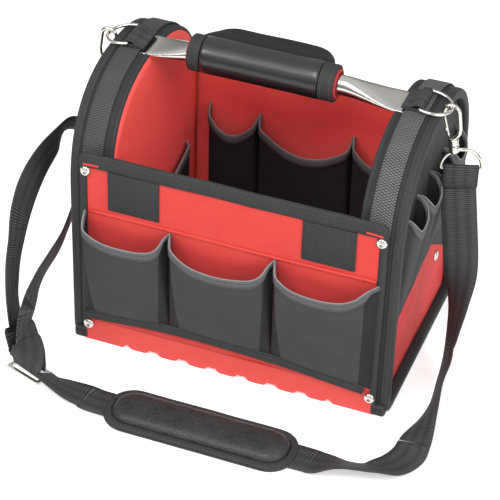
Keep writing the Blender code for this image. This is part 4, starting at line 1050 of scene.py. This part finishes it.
def build_grip():
    """Leather-look sleeve with bound ends, and the padded flap of its wrap."""
    for name, rows, finish in (("grip_leather_sleeve", SLEEVE, LEATHER), ("grip_end_band_left", LEFT_END, TAPE),
                               ("grip_end_band_right", RIGHT_END, TAPE)):
        def place(i, j):
            along, radius = rows[j]
            turn = 2 * pi * (i % GRIP_SIDES) / GRIP_SIDES
            radius += ripple((along, cos(turn) * 0.02, sin(turn) * 0.02), 45, 0.0004)
            return Vector((along, radius * cos(turn), BAR_HIGH + radius * sin(turn)))

        add(name, surface(GRIP_SIDES, len(rows) - 1, place), finish, slot="wrap", sharp=50,
            stands_for="grip_sleeve" if finish is LEATHER else None)
    for label, at in GRIP_SEAMS.items():
        stitches(f"grip_band_stitches_{label}", bar_ring(at, GRIP_SEAM_RADIUS, 48),
                 lambda p: Vector((0, p.y, p.z - BAR_HIGH)), GREY_THREAD)
    for label, at in (("left", GRIP_START), ("right", GRIP_END)):
        add(f"grip_foam_{label}",
            tube(bar_ring(at, FOAM_RADIUS, 32)[:-1], FOAM_THICK, 10, ring=True, side=ALONG), FOAM)

    def place_flap(i, j):
        share = 0.004 + 0.992 * j / FLAP_ROWS
        along = FLAP_START + FLAP_LONG * share
        off = max(0.0, (abs(2 * share - 1) - FLAP_STRAIGHT) / (1 - FLAP_STRAIGHT))
        far = max(FLAP_REACH * (1 - off ** 2.2) ** 0.5, FLAP_LEAST)
        turn = 2 * pi * (i % FLAP_SIDES) / FLAP_SIDES
        y = (FLAP_ROOT + far) / 2 + (far - FLAP_ROOT) / 2 * cos(turn)
        thick = FLAP_THICK * (0.6 + 0.4 * min(1.0, sin(pi * share) * 3))
        root = max(0.0, 1 - (y - FLAP_ROOT) / FLAP_HUMP_REACH)
        lift = thick * rounded(turn, 0.8)[1] * (1 + 0.25 * root)
        high = BAR_HIGH + FLAP_HIGH + FLAP_HUMP * root + lift
        return Vector((along, y, high + ripple((along, y, 0), 30, 0.0006)))

    flap = add("grip_flap", surface(FLAP_SIDES, FLAP_ROWS, place_flap, closed=True), FLAP_LEATHER)


# ---- rings, hooks and rivets

WIRE_SIDES = 14
RIVET = mm(((0, 1.6), (1.1, 1.6), (2, 2.2), (3.1, 3.2), (4.4, 3.2), (5.6, 2.4), (6.4, 1.3), (6.6, 0.3), (6.1, 0),
            (0, 0)))
RIVET_SIDE = 0.1735
RIVET_ROWS = (("front_upper", -1, 0.2405), ("front_lower", -1, 0.0235), ("back_upper", 1, 0.2405))
END_RIVET = (0.066, 0.091)
COLLAR = mm(((3.4, -10), (4.8, -10), (5.8, -9.2), (6, -8), (5.4, -7.2), (5.4, -3), (6, -2.2), (6, -1), (5.4, 0),
             (3, 1.2), (0, 1.4)))
STUD = mm(((0, -17.6), (4, -17.4), (5.3, -16.6), (5.5, -15), (5.5, -11.8), (5, -10.5), (3, -10.2), (3, -3.4),
           (0, -3.4)))
LEFT_HANG = Vector((-0.05, -0.20, -0.98)).normalized()
LEFT_WIDE = (ACROSS - LEFT_HANG * LEFT_HANG.y).normalized()
RIGHT_WIDE = Vector((cos(radians(20)), sin(radians(20)), 0))
EYE_WAYS = {-1: (LEFT_WIDE, LEFT_HANG, 0.0), 1: (RIGHT_WIDE, -UP, radians(25))}


def ring_point(side, reach, across):
    """Return a point in the plane of a D ring, from its bar outwards."""
    return Vector((side * (RING_BAR.x + reach * cos(RING_DROP)), across, RING_BAR.z - reach * sin(RING_DROP)))


def hook_up(side):
    """Return the direction of a hook's long axis."""
    return Vector((-side * sin(HOOK_LEAN), 0, cos(HOOK_LEAN)))


def hook_point(side, across, high):
    """Return a point in the plane of a hook, outwards and along its axis."""
    origin = ring_point(side, RING_REACH, 0) + hook_up(side) * (WIRE_RADIUS + HOOK_RADIUS + GAP - HOOK_TALL)
    return origin + Vector((side * cos(HOOK_LEAN), 0, sin(HOOK_LEAN))) * across + hook_up(side) * high


def build_ring(label, side):
    """D ring of bent wire."""
    flat = RING_HALF - 0.003
    corner = RING_HALF - 0.0008
    spots = [(0, -flat + 2 * flat * k / 8) for k in range(9)] + [(0.0008, corner), (0.003, RING_HALF)]
    spots += arc(RING_HALF, pi / 2, -pi, 24, RING_REACH - RING_HALF) + [(0.003, -RING_HALF), (0.0008, -corner)]
    normal = (sin(RING_DROP) * side, 0, cos(RING_DROP))
    wire = tube([ring_point(side, *spot) for spot in spots], WIRE_RADIUS, WIRE_SIDES, ring=True, side=normal)
    add(f"d_ring_{label}_wire", wire, CHROME, f"ring_{label}", f"d_ring_{label}")


def build_hook(label, side):
    """Snap hook, its collar and gate, and the swivel stud under it."""
    half = HOOK_HALF
    high = HOOK_TALL - half
    body = [(0, -0.002), (0, 0.001), (half * 0.35, half * 0.30), (half * 0.8, half * 0.75), (half, half * 1.6),
            (half, high * 0.72)]
    body += arc(half, 0, pi, 14, 0, high) + [(-half, high - half / 4), (-half, high - half / 2)]
    wire = tube([hook_point(side, *spot) for spot in body], HOOK_RADIUS, WIRE_SIDES, side=ACROSS)
    add(f"hook_{label}_body", wire, CHROME, f"hook_{label}", f"hook_{label}")
    axis, foot = hook_up(side), hook_point(side, 0, 0)
    add(f"hook_{label}_collar", spun(COLLAR, axis, foot, 28), CHROME, f"hook_{label}")
    hinge = hook_point(side, -0.0047, 0.0016)
    tip = hook_point(side, -half, high - half / 2 - GAP)
    gate = [hinge.lerp(tip, k / 8) for k in range(9)]
    add(f"gate_{label}_tongue", tube(gate, 0.0013, 12, side=ACROSS), CHROME, f"gate_{label}",
        f"gate_{label}")
    shape = bmesh.new()
    bmesh.ops.create_uvsphere(shape, u_segments=16, v_segments=10, radius=0.0022,
                              matrix=Matrix.Translation(hook_point(side, -0.0075, 0.012)))
    add(f"gate_{label}_thumb_stud", shape, CHROME, f"gate_{label}")
    add(f"swivel_{label}_stud", spun(STUD, axis, foot, 28), CHROME, f"ring_{label}")


def eye_middle(side):
    """Return the middle of the half ring of a strap eye."""
    wide, hang, shift = EYE_WAYS[side]
    top = hook_point(side, 0, WIRE_RADIUS - 0.010 - GAP - 0.007)
    return top + (wide * sin(shift) + hang * cos(shift)) * EYE_HALF


def eye_bar(side):
    """Return the middle of the straight bar of a strap eye."""
    return eye_middle(side) + EYE_WAYS[side][1] * (EYE_DROP - EYE_HALF)


def build_eye(label, side):
    """Half ring that the strap is sewn to."""
    wide, hang, _ = EYE_WAYS[side]
    half, drop = EYE_HALF, EYE_DROP - EYE_HALF
    corner = half - 0.0008
    spots = arc(half, -pi, pi, 28) + [(half, drop * 0.6), (corner, drop)]
    spots += [(half * (0.85 - 0.17 * k), drop) for k in range(11)] + [(-corner, drop), (-half, drop * 0.6)]
    points = [eye_middle(side) + wide * across + hang * down for across, down in spots]
    add(f"swivel_eye_{label}_wire", tube(points, WIRE_RADIUS, WIRE_SIDES, ring=True, side=wide.cross(hang)),
        CHROME, f"ring_{label}", f"swivel_eye_{label}")


def build_keeper(label, side):
    """Webbing loop over the arch that holds the bar of a D ring."""
    base = ARCH_TOP + GAP + WEBBING_THICK + GAP
    radius = WIRE_RADIUS + GAP + WEBBING_THICK / 2
    inner = BAND_MIDDLE - 0.0165
    line = mm(((0, 0.6), (6, 1)), inner, base) + [(RING_BAR.x - 0.003, base + 0.0010)]
    line += arc(radius, -pi / 2, pi, 10, RING_BAR.x, RING_BAR.z)
    line.append((RING_BAR.x - 0.006, RING_BAR.z + radius - 0.0006))
    line += mm(((10, 3.4), (4, 2.8), (0.2, 2.4)), inner, base)
    points = smooth_row([(side * x, 0, z) for x, z in line], 3)
    add(f"ring_keeper_{label}_webbing", tape(points, ACROSS, STRAP_WIDTH, FOLD_THICK), WEBBING,
        stands_for=f"ring_keeper_{label}")
    for k, y in enumerate((-0.017, 0.017)):
        row = [(side * (inner + x), y, base + 0.0050) for x in (0.003, 0.013)]
        stitches(f"ring_keeper_{label}_stitches_{k}", row, (0, 0, 1), GREY_THREAD)


def build_rivet(name, place, out):
    """Domed rivet with a rolled rim and a dimple."""
    out = Vector(out)
    add(f"{name}_head", spun(RIVET, out, Vector(place) + out * 0.0001, 24), CHROME, stands_for=name)


def build_rivets():
    """All the rivets of the panels and ends."""
    for level, out, high in RIVET_ROWS:
        for label, side in ENDS:
            build_rivet(f"rivet_{level}_{label}", (side * RIVET_SIDE, out * FACE, high), (0, out, 0))
    for label, out in ENDS:
        build_rivet(f"rivet_end_{label}", (out * END_FACE, *END_RIVET), (out, 0, 0))


# ---- shoulder strap

# Rows of place and width direction, in thousandths; places are shares of the strap's three reaches
RIGHT_DROP = (
    (939, 0, 1010, 940, 340, 0), (939, 0, 980, 940, 340, 0), (952, 0, 850, 940, 340, 0),
    (985, -10, 600, 940, 200, 0), (994, -20, 390, 800, -600, 0), (992, -40, 220, 520, -850, 0),
    (996, -110, 112, 380, -620, 690), (1012, -240, 88, 360, -100, 930), (1024, -400, 88, 310, 30, 950),
    (1028, -550, 70, 600, -50, 800), (1016, -700, 24, 950, -130, 200))
FRONT_RUN = (
    (1015.5, -706, 22.8, 950, -130, 200), (1007.5, -790, 9, 970, -200, 0), (960, -890, 17, 750, -600, 100),
    (880, -975, 48, 250, -800, 480), (760, -1005, 50, 0, -870, 480), (640, -1005, 20, 0, -990, 80),
    (560, -1000, 14.5, 0, -1000, 0), (250, -1000, 14.5, 0, -1000, 0), (-150, -1000, 14.5, 0, -1000, 0),
    (-480, -1000, 14.5, 0, -1000, 0), (-560, -985, 12.5, 0, -1000, 30), (-650, -987, 26, -150, -970, 220),
    (-742, -983.5, 48, -200, -850, 500), (-802, -962, 59.2, -280, -760, 580))
OUTER_RUN = (
    (-917.4, -39.8, 1004.6, 0, 980, -200), (-919.1, -46.6, 971.7, 0, 980, -200),
    (-938.3, -59.3, 927.1, -20, 975, -220), (-978.7, -91.1, 902.1, -220, 800, -550),
    (-1021.3, -169.5, 939.6, -400, 300, -860), (-1023.4, -279.7, 927.9, -80, 240, -970),
    (-1040.4, -415.3, 890.7, 150, 300, -940), (-1042.1, -559.3, 836, 280, 430, -860),
    (-1029.6, -682.2, 762.2, 230, 640, -730), (-1013.5, -771.2, 662.6, 60, 790, -610),
    (-1005.1, -830.5, 576.2, -10, 880, -470), (-993.2, -872.9, 472.9, -90, 960, -260),
    (-986.7, -887.7, 365.6, -160, 980, -140), (-972.2, -898.3, 274.6, -100, 970, -200),
    (-948.7, -922.5, 233.3, 208, 978, 0), (-937, -916.4, 200, 469, 883, 0), (-925.4, -904.5, 158.3, 743, 669, 0),
    (-915.9, -895.1, 125, 914, 407, 0), (-906.6, -888, 91.7, 995, 105, 0), (-897.7, -883.9, 58.3, 982, -191, 0),
    (-894.5, -884.7, 21.7, 946, -326, 0))
INNER_RUN = (
    (-890.1, -40, 1003.1, 0, 980, -200), (-891.8, -46.8, 970.5, -10, 970, -230),
    (-902.1, -76.3, 854.2, -20, 940, -330), (-904.3, -148.3, 687.5, -40, 800, -600),
    (-931.8, -288.1, 576, -230, 430, -870), (-907.4, -500, 517.9, -250, 230, -940),
    (-910, -661, 482.2, -250, 210, -940), (-906, -771.2, 457.6, -150, 290, -940),
    (-900.5, -843.2, 426, -30, 430, -900), (-895.7, -900.4, 396.1, 20, 690, -720),
    (-900.4, -930.1, 343.8, 20, 940, -340), (-904.4, -942.8, 279.2, -20, 1000, -90),
    (-905, -931.7, 233.3, 208, 978, 0), (-901.3, -935.3, 200, 469, 883, 0), (-898.4, -934.4, 158.3, 743, 669, 0),
    (-898.6, -933.8, 125, 914, 407, 0), (-901.9, -932.3, 91.7, 995, 105, 0), (-906.6, -929.7, 58.3, 982, -191, 0),
    (-909.7, -928.8, 21.7, 946, -326, 0))
SLIDER_PLACE = Matrix.Translation((-0.212, -0.214, 0.0004)) @ Matrix.Rotation(radians(-19), 4, "Z")
OUTER_REST = (-0.2405, -0.066, 0.2227)
INNER_REST = (-0.2190, -0.068, 0.1382)
SLOT_PLACE = 0.0055
SLOT_HIGH = 0.0048
SEWN_TALL = 0.026
SEWN_LEGS = (SEWN_TALL - 0.004, 0.014, 0.005)
SEWN_SEAMS = (("top", 0.0085), ("foot", 0.0195))
SEAM_ACROSS = (-0.017, 0.0, 0.017)
CORE_LINE = (0.0052, 0.012, 0.0225)
CORE_THICK = 0.0030
SLIDER_WIDE = (-0.025, -0.021, 0.021, 0.025)
SLIDER_DEEP = (-0.013, -0.009, -0.002, 0.002, 0.009, 0.013)
SLIDER_THICK = 0.003


def strap_run(name, rows, stands_for, body="bag", first=None, hang=None, last=None):
    """Sweep one run of the shoulder strap along the route of its solid."""
    points = [Vector((x * STRAP_OUT, y * STRAP_FRONT, z * STRAP_HIGH)) / 1000 for x, y, z, *_ in rows]
    if first is not None:
        points[:2] = [first, first + hang * 0.008]
    if last is not None:
        points[-1] = last
    sides = smooth_row([Vector(row[3:]) / 1000 for row in rows], 10)
    return add(name, tape(smooth_row(points, 10), sides, STRAP_WIDTH, STRAP_THICK), WEBBING, body, stands_for)


def build_sewn_end(label, side):
    """Webbing folded round the eye bar and stitched to itself."""
    wide, hang, _ = EYE_WAYS[side]
    middle = eye_bar(side)
    thin = wide.cross(hang)
    body = f"ring_{label}"
    radius = WIRE_RADIUS + GAP + STRAP_THICK / 2
    line = [(-radius, down) for down in SEWN_LEGS] + arc(radius, -pi, pi, 10)
    line += [(radius, down) for down in reversed(SEWN_LEGS)]
    points = [middle + thin * across + hang * down for across, down in line]
    add(f"strap_end_{label}_fold", tape(points, wide, STRAP_WIDTH, FOLD_THICK), WEBBING, body,
        f"strap_end_{label}")
    core = [middle + hang * down for down in CORE_LINE]
    add(f"strap_end_{label}_core", tape(core, wide, STRAP_WIDTH - 0.001, CORE_THICK), WEBBING, body)
    for tag, face in (("a", -thin), ("b", thin)):
        for row, down in SEWN_SEAMS:
            line = [middle + face * (radius + 0.0010) + wide * across + hang * down for across in SEAM_ACROSS]
            stitches(f"strap_end_{label}_{row}_{tag}", line, face, GREY_THREAD, body)


def build_slider():
    """Flat slider of plated wire bars."""
    shape = bmesh.new()
    bmesh.ops.create_grid(shape, x_segments=3, y_segments=5, size=0.5)
    for vert in shape.verts:
        i, j = round((vert.co.x + 0.5) * 3), round((vert.co.y + 0.5) * 5)
        vert.co = Vector((SLIDER_WIDE[i], SLIDER_DEEP[j], 0))
    slots = [face for face in shape.faces if abs(face.calc_center_median().x) < 0.02
             and 0.003 < abs(face.calc_center_median().y) < 0.008]
    bmesh.ops.delete(shape, geom=slots, context="FACES")
    bmesh.ops.solidify(shape, geom=shape.faces[:], thickness=SLIDER_THICK)
    low = min(vert.co.z for vert in shape.verts)
    bmesh.ops.translate(shape, verts=shape.verts, vec=(0, 0, -low))
    bmesh.ops.recalc_face_normals(shape, faces=shape.faces)
    sharp = [edge for edge in shape.edges if len(edge.link_faces) == 2 and edge.calc_face_angle(0) > 0.8]
    bmesh.ops.bevel(shape, geom=sharp, offset=0.0008, affect="EDGES", segments=3, profile=0.5, material=-1)
    bmesh.ops.transform(shape, matrix=SLIDER_PLACE, verts=shape.verts)
    add("slider_plate", shape, CHROME, "slider", "slider", sharp=40)


def build_strap():
    """The whole strap from the right eye over the ground to the left eye."""
    below = SEWN_TALL - WIRE_RADIUS - STRAP_THICK + 2 * GAP
    apart = (WIRE_RADIUS + GAP + STRAP_THICK / 2) * LEFT_WIDE.cross(LEFT_HANG)
    left_top = eye_bar(-1) + LEFT_HANG * below
    first = eye_bar(1) - UP * below
    drop = strap_run("strap_right_webbing", RIGHT_DROP, "strap_right_drop", None, first, -UP)
    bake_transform(drop)
    strap_run("strap_front_webbing", FRONT_RUN, "strap_front")
    for tag, rows, way, end in (("outer", OUTER_RUN, 1, OUTER_REST), ("inner", INNER_RUN, -1, INNER_REST)):
        run = strap_run(f"strap_left_{tag}_webbing", rows, f"strap_left_{tag}", None, left_top + way * apart,
                        LEFT_HANG, SLIDER_PLACE @ Vector((0, way * SLOT_PLACE, SLOT_HIGH)))
        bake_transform(run)
    for label, side in ENDS:
        for build in (build_ring, build_hook, build_eye, build_sewn_end, build_keeper):
            build(label, side)
    build_slider()


PAD_STEPS = 120
PAD_START = -0.104
PAD_END = 0.124
PAD_HALF = 0.035
PAD_CORNER = 0.030
PAD_TACKS = {"left": -0.096, "right": 0.116}
PAD_TACK_HALF = 0.010
PAD_TACK_HIGH = 0.0079
PAD_RIM = mm(((3, 0.4), (0.8, 1), (0, 3), (0.4, 5.2), (2.2, 6.8), (5, 7.6), (7.6, 7.8), (8.6, 7), (9.2, 5.6)))
PAD_DOME = mm(((8.6, 5), (9.4, 7.8), (10.8, 10.4), (13.2, 12.6), (16.5, 14.1), (20.5, 15), (25, 15.5), (30, 15.8),
               (34.4, 15.9)))


def pad_outline(inset):
    """Return the rounded outline of the shoulder pad, shrunk by an inset."""
    half = PAD_HALF - inset
    radius = max(min(PAD_CORNER - inset * 0.7, half - 0.0004), 0.0004)
    start, end, side = PAD_START + inset + radius, PAD_END - inset - radius, half - radius
    points = []
    for x, y, turn in ((end, side, 0), (start, side, pi / 2), (start, -side, pi), (end, -side, 1.5 * pi)):
        points += arc(radius, turn, pi / 2, 14, x, y)
    return even_row([Vector((x, y, 0)) for x, y in points + points[:1]], PAD_STEPS)[:-1]


def build_pad():
    """Shoulder pad with a bound rim and a raised, grained cushion."""
    for name, rows, finish in (("shoulder_pad_rim", PAD_RIM, TAPE), ("shoulder_pad_cushion", PAD_DOME, PAD_FACE)):
        outlines = [pad_outline(inset) for inset, _ in rows]

        def place(i, j):
            spot = outlines[j][i % PAD_STEPS]
            lift = ripple((spot.x, spot.y, 0), 35, 0.0006) * min(1.0, j / 4)
            return Vector((spot.x, spot.y - STRAP_FRONT, rows[j][1] + lift))

        piece = add(name, surface(PAD_STEPS, len(rows) - 1, place, closed=True, flat=(0, 1)), finish, "pad",
                    "shoulder_pad" if finish is PAD_FACE else None, "wrap")
    for label, x in PAD_TACKS.items():
        line = [(x, y - STRAP_FRONT, PAD_TACK_HIGH) for y in (-PAD_TACK_HALF, PAD_TACK_HALF)]
        stitches(f"shoulder_pad_tack_{label}", line, UP, DARK_THREAD, "pad", 0.006, 0.004, 0.0014)


# ---- the whole bag

for label, out in FACES:
    build_panel(label, out)
    build_top_binding(label, out)
    build_foot_tape(label, out)
    for tag, side in ENDS:
        build_side_tape(label, out, tag, side)
        build_corner_boot(label, out, tag, side)
for label, side in ENDS:
    build_loop_patch(label, side)
build_pockets()
build_ends()
build_bar()
build_grip()
build_rivets()
build_strap()
build_pad()
for label, side in ENDS:
    build_slit(label, side)
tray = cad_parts["base_tray"]
tray.data.materials.clear()
tray.data.materials.append(RED_PLASTIC.material)
add("base_board_sheet", block(*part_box("base_board"), 0.0008), BOARD, stands_for="base_board")


# ---- floor, light and camera

BAG_MIDDLE = Vector((0, 0, 0.15))
CAMERA_AIM = Vector((-0.0237, 0, 0.0831))
CAMERA_FAR = 2.4286
CAMERA_LENS = 147.3
FLOOR_HALF = 6.0
FLOOR_LOW = 0.0002
FLOOR_GLOW = 0.45
WORLD_STRENGTH = 0.80
CAMERA_TURN, CAMERA_RISE, CAMERA_ROLL = radians(19.877), radians(36.657), radians(1.9565)


def place_in_scene(item, place, turn):
    """Put a light or camera in the scene."""
    item.location = place
    item.rotation_mode = "QUATERNION"
    item.rotation_quaternion = turn
    bpy.context.scene.collection.objects.link(item)


def add_floor():
    """Plain pale floor."""
    shape = bmesh.new()
    bmesh.ops.create_grid(shape, x_segments=4, y_segments=4, size=FLOOR_HALF)
    bmesh.ops.translate(shape, verts=shape.verts, vec=(0, 0, -FLOOR_LOW))
    pale = Finish("pale_floor")
    pale.give("Roughness", 0.9)
    pale.give("Base Color", (800, 800, 800))
    pale.give("Specular IOR Level", 0.0)
    pale.give("Emission Color", (1000, 1000, 1000))
    pale.give("Emission Strength", FLOOR_GLOW)
    add("floor", shape, pale, body=None)


def add_light(name, place, size, power):
    """Soft square light aimed at the bag."""
    data = bpy.data.lights.new(name, "AREA")
    data.size = size
    data.energy = power
    place_in_scene(bpy.data.objects.new(name, data), place, (BAG_MIDDLE - Vector(place)).to_track_quat("-Z", "Y"))


def add_camera():
    """Camera at the photograph's viewing angle."""
    back = Vector((sin(CAMERA_TURN) * cos(CAMERA_RISE), -cos(CAMERA_TURN) * cos(CAMERA_RISE), sin(CAMERA_RISE)))
    right = Vector((cos(CAMERA_TURN), sin(CAMERA_TURN), 0))
    leaned = right * cos(CAMERA_ROLL) + back.cross(right) * sin(CAMERA_ROLL)
    data = bpy.data.cameras.new("camera")
    data.sensor_width = 36
    data.lens = CAMERA_LENS
    data.clip_start = 0.1
    data.clip_end = 50
    item = bpy.data.objects.new("camera", data)
    place_in_scene(item, CAMERA_AIM + back * CAMERA_FAR,
                   Matrix((leaned, back.cross(leaned), back)).transposed().to_quaternion())
    bpy.context.scene.camera = item


def add_world():
    """Even pale surroundings, darker towards the ground."""
    world = bpy.data.worlds.new("studio")
    world.use_nodes = True
    tree = world.node_tree
    background = tree.nodes["Background"]
    way = tree.nodes.new("ShaderNodeTexCoord")
    parts = tree.nodes.new("ShaderNodeSeparateXYZ")
    ramp = tree.nodes.new("ShaderNodeValToRGB")
    low, high = ramp.color_ramp.elements
    low.position, low.color = 0.05, (0.16, 0.15, 0.14, 1)
    high.position, high.color = 0.75, (1, 1, 1, 1)
    tree.links.new(way.outputs["Generated"], parts.inputs[0])
    tree.links.new(parts.outputs[2], ramp.inputs[0])
    tree.links.new(ramp.outputs[0], background.inputs["Color"])
    background.inputs["Strength"].default_value = WORLD_STRENGTH
    bpy.context.scene.world = world


add_floor()
add_world()
add_light("key_light", (-1.3, -1.5, 1.9), 0.8, 22)
add_light("fill_light", (1.9, -0.9, 1.2), 1.4, 26)
add_light("top_light", (0.1, -1.4, 2.3), 1.2, 38)
add_camera()
bpy.context.scene.view_settings.view_transform = "Standard"
